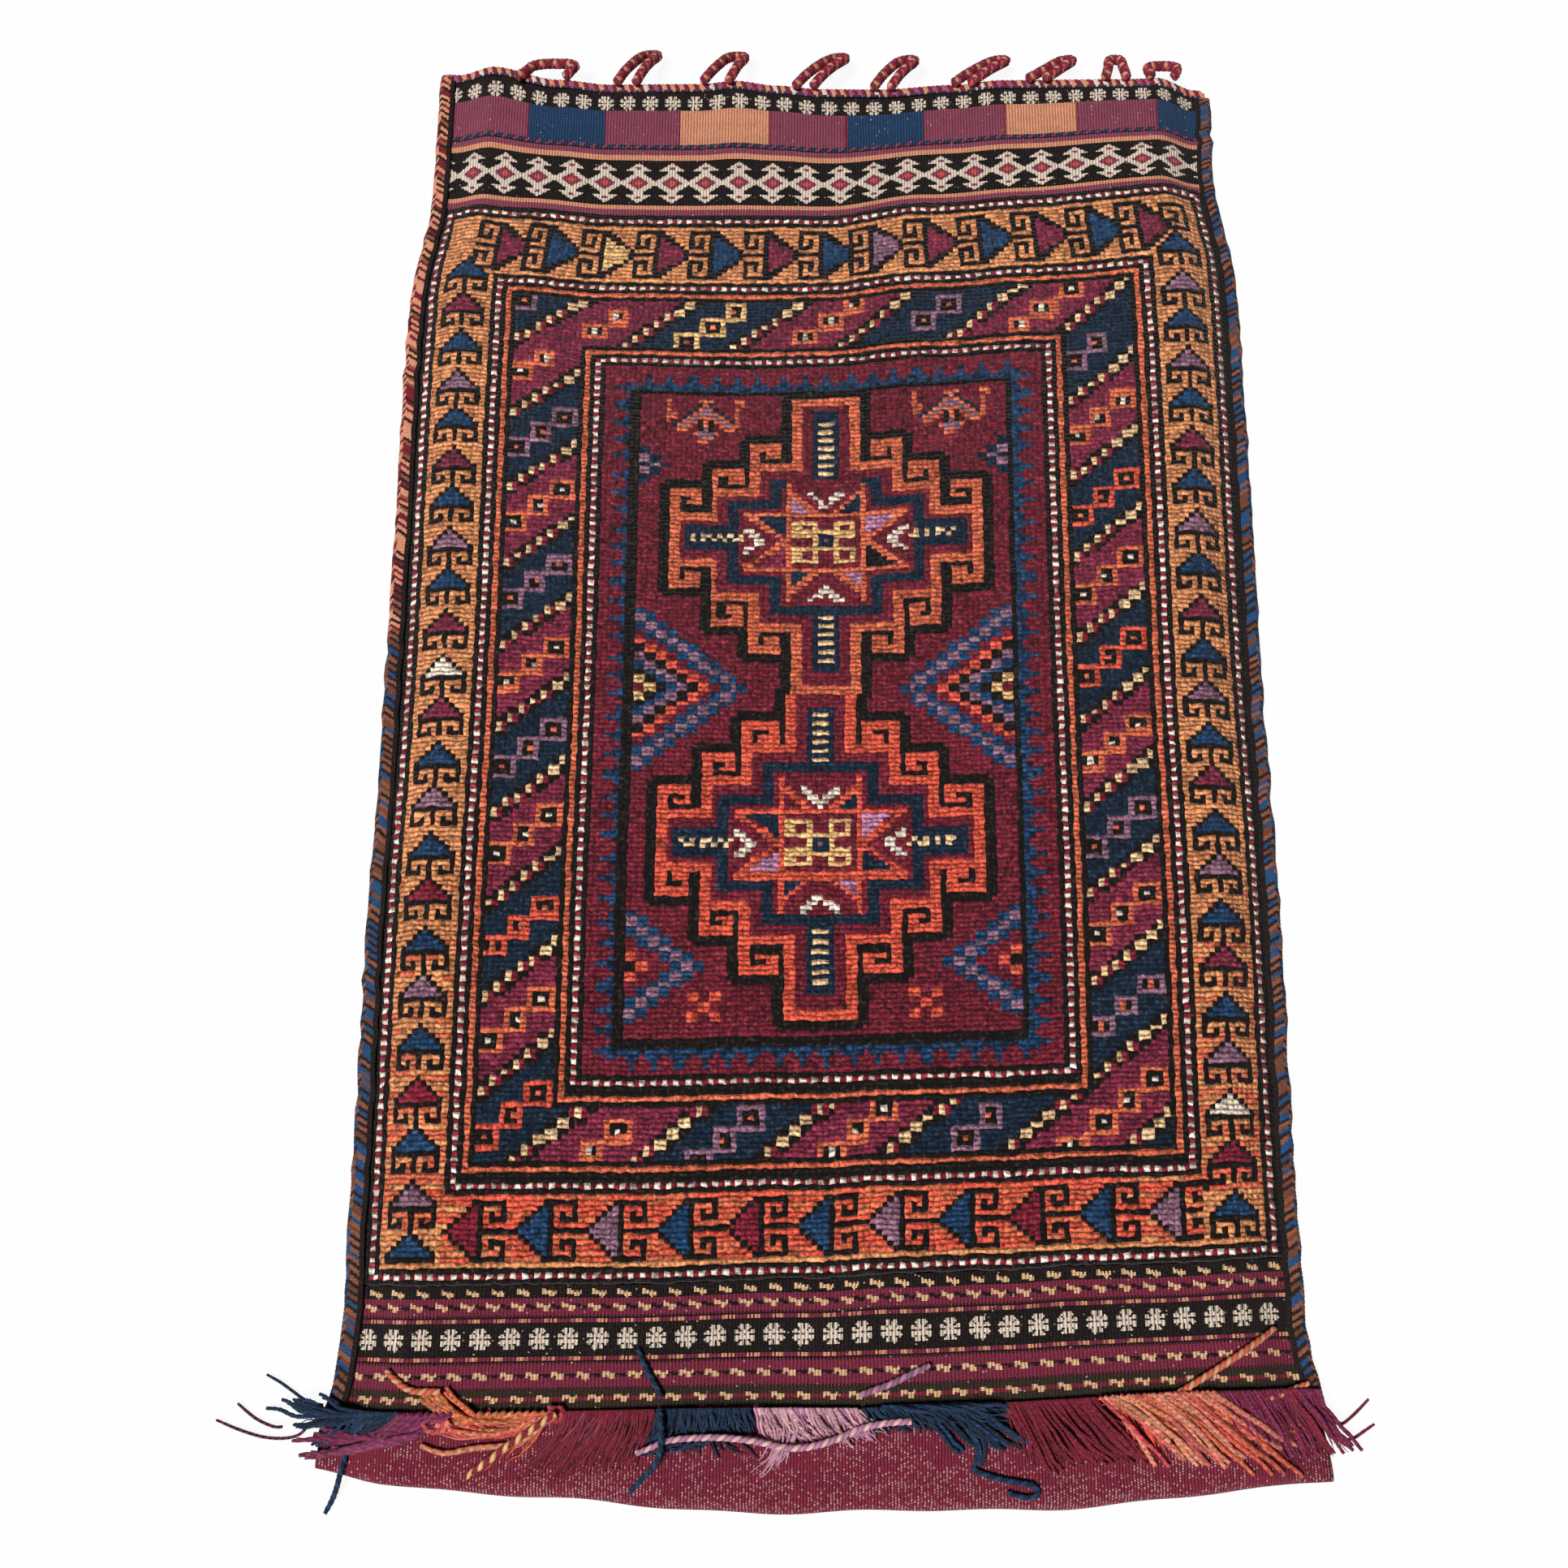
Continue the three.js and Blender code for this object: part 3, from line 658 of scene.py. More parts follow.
@dataclass(frozen=True)
class WoolFinish:
    """How one kind of wool work is dressed: fibre, ribs with their painted shade and highlight, flecks and
    the shader's gloss.
    """

    name: str
    fineness: float = 900.0
    mottle: float = 0.3
    # Share of paler fibre tips: partly the wool's own fading, partly painted highlight.
    fading: float = 0.12
    # Warp pitch, weft pitch, shift of the wefts from warp to warp, and strength of the painted shade and
    # highlight.
    rib: tuple[float, float, float, float] | None = None
    flecks: tuple[float, float] | None = None
    fleck_tone: Dye = Dye.BLUSH
    bump: float = 0.0006
    roughness: float = 0.86
    sheen: float = 0.05

    FIBRE_RELIEF = 0.6
    ROUGH_SWING = 0.16

    def material(self) -> bpy.types.Material:
        """The finish as a material that reads the attribute Dye and, for ribs and flecks, the map Weave."""
        material = bpy.data.materials.new(self.name)
        material.use_nodes = True
        wiring = Wiring(material.node_tree)
        shader = material.node_tree.nodes["Principled BSDF"]
        place = wiring.add("ShaderNodeTexCoord").outputs["Object"]
        colour = wiring.out("ShaderNodeVertexColor", {"layer_name": "Dye"})
        rib = None
        if self.rib:
            weave = wiring.out("ShaderNodeUVMap", {"uv_map": "Weave"})
            # The fourth number sets how strong the ribs' painted shade and highlight are.
            warp, weft, offset, depth = self.rib
            rib = wiring.group("woven_rib", Dye=colour, Map=weave, Warp=warp, Weft=weft, Offset=offset,
                               Depth=depth)
            colour = rib.outputs["Colour"]
        if self.flecks:
            share, hem = self.flecks
            worn = wiring.group("pale_fleck", Dye=colour, Map=weave, Threads=rib.outputs["Threads"],
                                Share=share, Hem=hem, Tone=(*self.fleck_tone.tone, 1.0))
            colour = worn.outputs["Colour"]
        fibre = wiring.group("wool_fibre", Dye=colour, Place=place, Fineness=self.fineness,
                             Mottle=self.mottle, Fading=self.fading)
        height = Signal(wiring, fibre.outputs["Height"])
        relief = height * self.FIBRE_RELIEF
        if rib:
            relief = relief + rib.outputs["Height"]
        wiring.feed(shader.inputs["Base Color"], fibre.outputs["Colour"])
        wiring.feed(shader.inputs["Normal"], wiring.out("ShaderNodeBump", Height=relief, Distance=self.bump,
                                                        Strength=1.0))
        smoothest = self.roughness - self.ROUGH_SWING / 2.0
        wiring.feed(shader.inputs["Roughness"], height * self.ROUGH_SWING + smoothest)
        shader.inputs["Sheen Weight"].default_value = self.sheen
        shader.inputs["Sheen Roughness"].default_value = 0.45
        shader.inputs["Specular IOR Level"].default_value = 0.25
        return material


@dataclass
class Wardrobe:
    """All finishes as materials, made once."""

    materials: dict[str, bpy.types.Material] = field(default_factory=dict)

    def __post_init__(self) -> None:
        """Build the shared groups and the materials."""
        fibre_group()
        rib_group()
        fleck_group()
        # On the pile the ribs are the knots, with painted shade between them and painted highlight on each.
        finishes = (
            WoolFinish("wool_pile", fineness=400.0, mottle=1.5, fading=0.08, rib=(1.0, 1.0, 0.0, 0.6),
                       bump=0.0016, roughness=0.9),
            WoolFinish("wool_flatweave", fineness=1500.0, mottle=0.35, rib=(2.2, 1.1, 0.5, 1.0),
                       flecks=(0.012, 0.0), fleck_tone=Dye.CREAM, bump=0.0005),
            WoolFinish("wool_plain_weave", fineness=1300.0, mottle=0.35, rib=(1.9, 1.5, 0.5, 1.1),
                       flecks=(0.3, 0.4), fleck_tone=Dye.PINK, bump=0.0006),
            WoolFinish("wool_binding", fineness=1500.0, mottle=0.45, bump=0.0005),
            WoolFinish("wool_overcast", fineness=1500.0, mottle=0.4, bump=0.0005),
            WoolFinish("wool_braid", fineness=1600.0, mottle=0.45, bump=0.0005),
            WoolFinish("wool_yarn", fineness=1500.0, mottle=0.5, fading=0.14, bump=0.0006, sheen=0.1),
        )
        self.materials = {finish.name: finish.material() for finish in finishes}


BODY_OF = {node: body for body, nodes in frame["record"]["behaviour"]["bodies"].items() for node in nodes}


@dataclass
class Workshop:
    wardrobe: Wardrobe
    root_over: float = 3.0
    root_under: float = 13.0

    def place(self, name: str, skin: Skin, finish: str, node: str, slot: str,
              rooted: bool = False) -> bpy.types.Object:
        """Make one piece that replaces a node.

        Args:
            name: The piece's name.
            skin: Its shape and colours.
            finish: Its material.
            node: The node that it replaces, whose body it rides on.
            slot: Not used.
            rooted: Whether it is left in the world frame, on no body, instead of riding whole on its node's
                body.

        Returns:
            The piece.
        """
        piece = bpy.data.objects.new(name, skin.mesh(name))
        bpy.context.scene.collection.objects.link(piece)
        piece.data.materials.append(self.wardrobe.materials[finish])
        if rooted:
            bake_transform(piece)
        else:
            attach(piece, BODY_OF[node])
        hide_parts(node)
        LOG.info("%s: %d faces, on %s", name, len(piece.data.polygons), BODY_OF[node])
        return piece


@dataclass
class Chart:
    """Counted pattern: a grid of cells, each with one dye, painted in the pattern's own units."""

    columns: int
    rows: int
    first_column: float = 0.0
    column_size: float = 1.0
    row_size: float = 1.0
    ground: Dye = Dye.NIGHT
    lot_rows: int = 6

    def __post_init__(self) -> None:
        """Lay the ground, note the middle of each cell in pattern units, and paint."""
        self.cells = np.full((self.rows, self.columns), number(self.ground))
        c = self.first_column + (np.arange(self.columns) + 0.5)[None] * self.column_size
        r = (np.arange(self.rows) + 0.5)[:, None] * self.row_size
        self.c, self.r = np.broadcast_arrays(c, r)
        self.draw()

    def draw(self) -> None:
        """Paint the pattern, each kind of chart in its own way."""

    def box(self, left: float, top: float, right: float, low: float) -> Array:
        """Mask of the cells whose middles are in a rectangle."""
        return (self.c >= left) & (self.c < right) & (self.r >= top) & (self.r < low)

    def frame(self, left: float, top: float, right: float, low: float, wide: float) -> Array:
        """Mask of a rectangle's rim, inside its bounds."""
        return self.box(left, top, right, low) & ~self.box(left + wide, top + wide, right - wide, low - wide)

    def line(self, points: list[tuple[float, float]], wide: float) -> Array:
        """Mask of the cells whose middles are within half the width of a broken line."""
        near = np.full(self.cells.shape, np.inf)
        for (c0, r0), (c1, r1) in zip(points[:-1], points[1:]):
            run_c, run_r = c1 - c0, r1 - r0
            share = ((self.c - c0) * run_c + (self.r - r0) * run_r) / (run_c**2 + run_r**2)
            share = np.clip(share, 0.0, 1.0)
            near = np.minimum(near, np.hypot(self.c - c0 - share * run_c, self.r - r0 - share * run_r))
        return near < wide / 2.0

    def paint(self, mask: Array, dye: Dye) -> None:
        """Give the masked cells one dye."""
        self.cells[mask] = number(dye)

    def fill(self, left: float, top: float, right: float, low: float, dye: Dye) -> None:
        """Give a rectangle of cells one dye."""
        self.paint(self.box(left, top, right, low), dye)

    def stamp(self, picture: list[str], left: float, top: float, key: dict[str, Dye]) -> None:
        """Lay a small drawn motif, one letter to a pattern unit.

        Args:
            picture: The motif's rows of letters.
            left: Column of its left side.
            top: Row of its top.
            key: Dye of each letter. The ground stays under a letter without one.
        """
        height, width = len(picture), len(picture[0])
        letters = np.array([list(line) for line in picture])
        column = np.floor(self.c - left).astype(int)
        row = np.floor(self.r - top).astype(int)
        inside = (column >= 0) & (column < width) & (row >= 0) & (row < height)
        found = letters[np.clip(row, 0, height - 1), np.clip(column, 0, width - 1)]
        for letter, dye in key.items():
            self.paint(inside & (found == letter), dye)

    def tones(self, rng: np.random.Generator, speckle: float, abrash: float) -> Array:
        """Colour of each cell: its dye, a chance lightness, and slow bands for the dye lots.

        Args:
            rng: Source of chance.
            speckle: Spread of the lightness from cell to cell.
            abrash: Spread of the lightness from dye lot to dye lot.

        Returns:
            Linear colours, row by column by 3.
        """
        base = TONES[self.cells]
        lot = rng.normal(size=(self.rows // self.lot_rows + 3, len(DYES)))
        place = np.arange(self.rows) / self.lot_rows
        bands = [np.interp(place, np.arange(len(lot)), lot[:, k]) for k in range(len(DYES))]
        band = np.take_along_axis(np.stack(bands, axis=-1), self.cells, axis=1)
        light = 1.0 + speckle * rng.normal(size=self.cells.shape) + abrash * band
        return base * np.clip(light, 0.45, 1.7)[..., None]


def grown(mask: Array, columns: int, rows: int) -> Array:
    """A mask grown to each side."""
    padded = np.pad(mask, ((rows, rows), (columns, columns)))
    height, width = mask.shape
    return np.any([padded[r:r + height, c:c + width]
                   for r in range(2 * rows + 1) for c in range(2 * columns + 1)], axis=0)


@dataclass
class Medallion:
    """One stepped and hooked medallion: its middle, its dye, and the levels of its steps over and under."""

    column: float
    row: float
    line: Dye
    reach: tuple[float, float, float] = (29.6, 21.9, 14.5)
    over: tuple[float, float, float] = (7.0, 12.8, 18.4)
    under: tuple[float, float, float] = (6.6, 14.4, 21.6)
    curl_over: tuple[float, float, float] = (12.8, 18.2, 24.0)
    curl_under: tuple[float, float, float] = (11.5, 19.8, 26.6)
    neck: float = 6.6
    neck_over: float = 35.0
    neck_under: float = 46.6
    ring_over: tuple[float, float] = (9.4, 14.8)
    ring_under: tuple[float, float] = (9.8, 17.0)
    arm_over: tuple[float, float] = (31.5, 12.8)
    arm_under: tuple[float, float] = (30.0, 17.3)
    fills: tuple[Dye, ...] = (Dye.LILAC, Dye.NAVY, Dye.NAVY, Dye.PLUM, Dye.LILAC, Dye.NIGHT, Dye.NAVY,
                              Dye.LILAC)

    STROKE = 1.9
    HOOK = 6.4
    HOOK_INNER = 4.6
    HOOK_DROP = 4.2

    def draw(self, chart: Chart) -> None:
        """Paint the stepped line with its hooks on black, then the inside from its rim to its middle."""
        across, up = chart.c - self.column, chart.r - self.row
        wide = np.abs(across)
        body = (wide < self.neck) & (up > -self.neck_over) & (up < self.neck_under)
        core = (wide < self.neck - self.STROKE) & (up > -self.neck_over + 2) & (up < self.neck_under - 2)
        lines = np.zeros_like(body)
        hollow = np.zeros_like(body)
        steps = zip(self.reach, self.over, self.under, self.curl_over, self.curl_under)
        for reach, over, under, top, low in steps:
            within, hook, inner = wide < reach, wide > reach - self.HOOK, reach - self.HOOK_INNER
            body |= within & (up > -over) & (up < under)
            core |= (wide < reach - self.STROKE) & (up > -over + self.STROKE) & (up < under - self.STROKE)
            for down, curl, step in ((-up, top, over), (up, low, under)):
                lines |= within & (wide > reach - self.STROKE) & (down > 0) & (down < curl)
                lines |= within & hook & (down < curl) & (down > curl - 2)
                lines |= (wide < inner) & hook & (down < curl) & (down > curl - self.HOOK_DROP)
                lines |= (wide < reach - 3.0) & hook & (down < curl - 2.7) & (down > curl - self.HOOK_DROP)
                hollow |= within & hook & (down < curl) & (down > step)
        lines |= body & ~core
        shape = lines | body | hollow
        chart.paint(grown(shape, 2, 1) | grown(shape, 1, 2), Dye.NIGHT)
        chart.paint(body, Dye.WINE)
        chart.paint(lines & ~core, self.line)
        self.ring(chart, wide, up)
        self.star(chart, across, up)

    def ring(self, chart: Chart, wide: Array, up: Array) -> None:
        """Paint the navy inner line and the four navy arms with their beads."""
        outer = (wide < 18.4) & (up > -self.ring_over[0]) & (up < self.ring_under[0])
        outer |= (wide < 10.6) & (up > -self.ring_over[1]) & (up < self.ring_under[1])
        inner = (wide < 16.5) & (up > 2.0 - self.ring_over[0]) & (up < self.ring_under[0] - 2.0)
        inner |= (wide < 8.7) & (up > 2.0 - self.ring_over[1]) & (up < self.ring_under[1] - 2.0)
        arms = (wide < 2.8) & (up > -self.arm_over[0]) & (up < self.arm_under[0])
        arms |= (np.abs(up + 0.3) < 3.0) & (wide < 26.6)
        chart.paint((outer | arms) & ~inner, Dye.NAVY)
        upright = (wide < 1.1) & (np.floor(chart.r) % 2 == 0)
        chart.paint(upright & (up > -self.arm_over[0] + 2.2) & (up < -self.arm_over[1]), Dye.STRAW)
        chart.paint(upright & (up > self.arm_under[1]) & (up < self.arm_under[0] - 2.0), Dye.STRAW)
        level = (wide > 15.8) & (wide < 25.0) & (np.abs(up + 0.4) < 1.0)
        chart.paint(level & (np.mod(chart.c + 0.6 * chart.r, 2.2) < 1.2), Dye.STRAW)

    def star(self, chart: Chart, across: Array, up: Array) -> None:
        """Paint the crossed bands, the corners between them, their white marks and the linked squares."""
        wide, high = np.abs(across), np.abs(up)
        thin, mark = 1.15, 1.3
        upright = (wide < 7.0) & (high < 14.6)
        level = (high < 6.6) & (wide < 15.0)
        corner_up = (high - 6.6) < (wide - 1.8) * 1.05
        corner_side = (wide - 7.0) < (high - 0.6) * 1.15
        chart.paint(upright | level, Dye.WINE)
        places = ((upright & (high > 6.6) & corner_up, (up < 0), (across < 0)),
                  (level & (wide > 7.0) & corner_side, (across < 0), (up < 0)))
        order = ((0, 1, 6, 7), (2, 3, 4, 5))
        for (mask, first, second), fills in zip(places, order):
            quarters = (first & second, first & ~second, ~first & second, ~first & ~second)
            for quarter, fill in zip(quarters, fills):
                chart.paint(mask & quarter, self.fills[fill])
        bands = ((np.abs(wide - 7.0) < 0.56) & (high < 14.2)) | ((np.abs(high - 6.7) < 0.56) & (wide < 15.2))
        chart.paint(bands, self.line)
        c, r = self.column, self.row
        for side in (-1, 1):
            for end in (-1, 1):
                for way in (((6.4, 11.6), (2.0, 7.2)), ((14.4, 5.9), (8.0, 0.5))):
                    slant = [(c + column * side, r + row * end) for column, row in way]
                    chart.paint(chart.line(slant, thin), self.line)
        marks = [[(-2.9, -11.4), (0.0, -8.2), (2.9, -11.4)], [(-3.2, 13.8), (0.0, 11.2), (3.2, 13.8)]]
        marks += [[(side * 15.0, -2.4), (side * 12.0, 0.0), (side * 15.0, 2.5)] for side in (-1, 1)]
        for corners in marks:
            chart.paint(chart.line([(c + column, r + row) for column, row in corners], mark), Dye.CREAM)
        for left, right in ((-6.0, -1.7), (1.7, 6.0)):
            for top, low in ((-5.2, -1.2), (1.2, 5.2)):
                chart.paint(chart.frame(c + left, r + top, c + right, r + low, thin), Dye.BUTTER)
        chart.paint(chart.frame(c - 2.5, r - 2.6, c + 2.5, r + 2.6, thin), Dye.BUTTER)
        chart.fill(c - 1.4, r - 1.5, c + 1.4, r + 1.5, Dye.NAVY)
        chart.fill(c - 0.5, r - 0.5, c + 0.5, r + 0.6, Dye.MAUVE)


@dataclass
class PilePattern(Chart):
    """The counted pattern of the pile panel: five borders round a field with two linked medallions."""

    columns: int = 158
    rows: int = 234
    first_column: float = -4.0
    left: float = 39.5
    right: float = 110.5
    top: float = 46.6
    low: float = 189.6

    UPRIGHT = ["....D....", "...DXD...", "..DXXXD..", ".DXXXXXD.", "DXXXXXXXD",
               "DDDDDDDDD", "D...D...D", "D.D.D.D.D", "DDD.D.DDD"]
    ABOVE = ["DDDDDD.....", "D...DDD....", "D.D.DXDD...", "D.D.DXXDD..", "DDD.DXXXXD.", "....DXXXXXD",
             "DDDDDXXXXXD"]
    BELOW = [".....DDDDDD.", "....DXD...D.", "...DXXD.D.D.", "..DXXXD.DDD.", ".DXXXXD.....", "DXXXXXDDDDDD"]
    CURL = ["DDDDDD", "D....D", "D.DD.D", "D..D.D", "DDDD.D", ".....D", "..DDDD"]
    CROWN = ["O.....OOO....OO", "O.....NON.....O", "O....NOMON...O.", "OO..NOMMMON..O.", "OO.NOMOOOMON.O.",
             "O.NOMOKOKOMONO.", ".NOMO.KOK.OMOO.", "..OO..KMK..OO..", ".....OMMMO.....", "......MOM......",
             "......OO......."]

    def draw(self) -> None:
        """Paint the field, then the borders from the inside out."""
        self.field()
        self.diagonals()
        self.teeth()
        self.main_border()
        self.guards()

    def guards(self) -> None:
        """Paint the dotted lines and the plain orange lines that part the borders."""
        dots = (np.floor(self.c) + np.floor(self.r)) % 2 == 0
        for edges in ((-2.6, 1.4, 152.6, 232.8), (10.8, 18.6, 139.2, 216.6), (31.0, 37.6, 119.0, 198.4)):
            line = self.outlined(*edges)
            self.paint(line, Dye.MAROON)
            self.paint(line & dots, Dye.CREAM)
        for edges in ((13.0, 21.0, 137.0, 214.0), (29.0, 36.0, 121.0, 201.0)):
            self.paint(self.outlined(*edges), Dye.ORANGE)

    def outlined(self, left: float, top: float, right: float, low: float) -> Array:
        """Paint a black rectangular line three knots wide, and give the mask of its middle knot."""
        self.paint(self.frame(left - 1.0, top - 1.0, right + 1.0, low + 1.0, 3.0), Dye.NIGHT)
        return self.frame(left, top, right, low, 1.0)

    def main_border(self) -> None:
        """Paint the apricot border with its chain of buds, standing at the sides and lying along the ends."""
        band = self.box(-1.0, 3.0, 151.0, 231.4) & ~self.box(10.0, 18.0, 140.0, 217.6)
        self.paint(band, Dye.APRICOT)
        row = np.floor(self.r)
        streak = np.sin(self.c * 0.31 + row * 2.4) + np.sin(self.c * 0.13 - row * 1.7)
        warm = (self.r - 150.0) / 75.0
        self.paint(band & (streak * 0.35 + warm > 0.72), Dye.ORANGE)
        end = band & (self.r > 217) & (np.abs(self.c - 76.0) < 62.0 + 6.0 * streak)
        self.paint(end, Dye.ORANGE)
        self.paint(end & (streak > -0.1), Dye.CORAL)
        blue, plum, mauve, maroon, cream = Dye.BLUE, Dye.PLUM, Dye.MAUVE, Dye.MAROON, Dye.CREAM
        left = [blue, plum, blue, mauve, blue, plum, blue, mauve, blue, plum, cream, plum,
                blue, mauve, blue, maroon, blue, mauve, blue, maroon, blue, mauve, blue]
        right = [blue, mauve, blue, mauve, blue, plum, blue, mauve, blue, plum, blue, mauve,
                 blue, plum, blue, mauve, blue, plum, blue, mauve, cream, maroon, blue]
        above = [plum, blue, Dye.BUTTER, plum, blue, plum, blue, mauve, plum, blue, plum, blue, plum]
        below = [maroon, blue, mauve, blue, maroon, blue, mauve, blue, maroon, blue, mauve]
        for half, dyes, first, pitch, top in ((self.ABOVE, above, 4.64, 10.82, 4.0),
                                              (self.BELOW, below, 10.5, 11.93, 219.0)):
            for i, dye in enumerate(dyes):
                self.stamp(half + half[-2::-1], first + i * pitch, top, {"D": Dye.NIGHT, "X": dye})
        self.stamp(self.CURL, 143.0, 4.8, {"D": Dye.NIGHT})
        for start, dyes, first, pitch in ((0.0, left, 13.9, 9.56), (141.0, right, 12.3, 9.47)):
            self.fill(start - 1.0, first + len(dyes) * pitch - pitch, start + 10.0, 231.4, Dye.APRICOT)
            for i, dye in enumerate(dyes):
                self.stamp(self.UPRIGHT, start, first + i * pitch, {"D": Dye.NIGHT, "X": dye})
        self.fill(-1.0, 230.2, 151.0, 231.4, Dye.APRICOT)

    def diagonals(self) -> None:
        """Paint the border of slanting bands, parted by stepped lines of beads, with linked squares in them.

        A cell's turn is its row plus the slope times its column, in pitches of the bands. Whole turns are the
        lines between the bands, and the squares climb along half turns.
        """
        pitch, slope, start, square, bead = 18.3, 0.86, 0.62, 4.6, 2.1
        band = self.box(13.2, 21.0, 137.2, 214.6) & ~self.box(29.5, 36.2, 120.5, 200.4)
        first = np.where(self.c > 120, 121.0, 14.2)
        turn = (self.r + slope * self.c) / pitch - start
        stripe = np.floor(turn)
        plum = stripe % 2 == 0
        self.paint(band, Dye.NAVY)
        self.paint(band & plum, Dye.PLUM)
        count = np.floor((self.c - first) / square)
        step = (self.c - first) - count * square - 2.3
        lift = self.r - ((stripe + 0.5 + start) * pitch - slope * (first + (count + 0.5) * square))
        near = np.maximum(np.abs(step) / 2.3, np.abs(lift) / 2.45)
        middle = self.r - lift
        side = (self.c < 29.5) | (self.c > 120.5)
        kept = np.where(side & (middle > 36) & (middle < 200), count < 3,
                        ((middle > 23.3) & (middle < 34.2)) | ((middle > 202.4) & (middle < 212.6)))
        near = np.where(kept, near, np.inf)
        line = np.select([plum, np.mod(stripe * 3, 7) > 4, (self.r < 37) & (np.mod(stripe, 6) == 3)],
                         [number(Dye.ORANGE), number(Dye.CORAL), number(Dye.BUTTER)], number(Dye.MAUVE))
        ring = band & (near < 1.0)
        self.cells[ring] = line[ring]
        self.paint(band & (near < 0.55), Dye.NIGHT)
        self.paint(band & (near < 0.24) & plum, Dye.CREAM)
        self.paint(band & (near < 0.24) & ~plum, Dye.ORANGE)
        apart = np.abs(turn - np.round(turn)) * pitch
        stair = np.floor(self.c / bead)
        off = np.abs(self.r - (np.round(turn) + start) * pitch + slope * (stair + 0.5) * bead)
        self.paint(band & ((apart < 2.0) | (off < 1.6)), Dye.NIGHT)
        self.paint(band & (off < 0.95), Dye.MAROON)
        self.paint(band & (off < 0.95) & (np.mod(self.c, bead) < 1.35), Dye.STRAW)

    def teeth(self) -> None:
        """Paint the band of small stepped crosses, wine outside and blue inside, round the field."""
        left, top, right, low = 33.0, 39.8, 117.0, 197.2
        band = self.box(left, top, right, low) & ~self.box(self.left, self.top, self.right, self.low)
        self.paint(band, Dye.WINE)
        beside = ((self.c < self.left) | (self.c > self.right)) & (self.r > 41) & (self.r < 196)
        depth = np.minimum(np.minimum(self.c - left, right - self.c),
                           np.minimum(self.r - top, low - self.r) * 0.95)
        tooth = np.mod(np.where(beside, self.r, self.c), 4.3)
        reach = np.select([tooth < 1.1, tooth < 2.2, tooth < 3.3], [5.2, 3.4, 2.2], 3.4)
        inside = band & (depth > reach)
        self.paint(inside, Dye.BLUE)
        self.paint(inside & (np.mod(np.floor(self.c) + 2 * np.floor(self.r), 5) == 0), Dye.NAVY)
        self.paint(band & (depth > 3.3) & (depth < 4.4) & ((tooth < 2.2) | (tooth > 3.3)), Dye.WINE)
        self.paint(self.frame(self.left - 1, self.top - 1, self.right + 1, self.low + 1, 1.2), Dye.NIGHT)

    def field(self) -> None:
        """Paint the wine field, its two medallions, the half diamonds at its sides and the small crowns."""
        self.fill(self.left, self.top, self.right, self.low, Dye.WINE)
        upper = Medallion(75.4, 82.8, Dye.ORANGE, neck_under=35.4)
        lower = Medallion(74.4, 150.3, Dye.CORAL, reach=(29.4, 21.7, 14.2), over=(7.0, 13.9, 20.9),
                          under=(5.3, 13.4, 20.5), curl_over=(12.3, 19.2, 26.0),
                          curl_under=(10.3, 18.8, 26.6),
                          neck_over=32.2, neck_under=36.1, ring_over=(10.2, 17.3), ring_under=(9.8, 16.2),
                          arm_over=(30.2, 17.0), arm_under=(30.8, 16.2),
                          fills=(Dye.WINE, Dye.NAVY, Dye.NAVY, Dye.LILAC, Dye.LILAC, Dye.NAVY, Dye.NAVY,
                                 Dye.LILAC))
        for medallion in (lower, upper):
            medallion.draw(self)
        self.fill(70.3, 118.2, 78.6, 121.0, Dye.WINE)
        for left in (67.9, 79.0):
            self.fill(left, 118.0, left + Medallion.STROKE, 120.8, Dye.CORAL)
        for left in (45.5, 91.8):
            self.stamp(self.CROWN, left, 48.4,
                       {"O": Dye.ORANGE, "N": Dye.NAVY, "M": Dye.MAUVE, "K": Dye.NIGHT})
        for column in (54.0, 93.0):
            for across, along in ((-2, -2.1), (2, -2.1), (0, 0), (-2, 2.1), (2, 2.1)):
                c, r = column + across, 183.3 + along
                self.fill(c - 1.1, r - 1.0, c + 1.1, r + 1.1, Dye.CORAL)
        self.half_diamonds()

    def half_diamonds(self) -> None:
        """Paint the half diamonds on the field's edges: stepped rings of one dye each, from the rim in."""
        edge = self.box(self.left + 0.5, self.top, self.right - 0.5, self.low)
        big = (Dye.BLUE, Dye.MAUVE, Dye.BLUE, Dye.WINE, Dye.CORAL, Dye.NIGHT, Dye.MAUVE, Dye.BLUE, Dye.NIGHT,
               Dye.BUTTER, Dye.WINE)
        low = (Dye.BLUE, Dye.MAUVE, Dye.BLUE, Dye.WINE, Dye.WINE, Dye.CORAL, Dye.NIGHT)
        small = (Dye.NAVY, Dye.MAUVE, Dye.NAVY)
        for row, rings in ((117.0, big), (175.0, low), (64.5, small)):
            for from_edge in (self.c - 40.0, 110.0 - self.c):
                outward = np.floor(from_edge / 1.95) + np.abs(np.floor((self.r - row) / 1.75 + 0.5))
                for i, dye in enumerate(rings[::-1]):
                    self.paint(edge & (outward == i), dye)


class Side(Enum):
    """Left and right side of the bag."""

    LEFT = -1
    RIGHT = 1


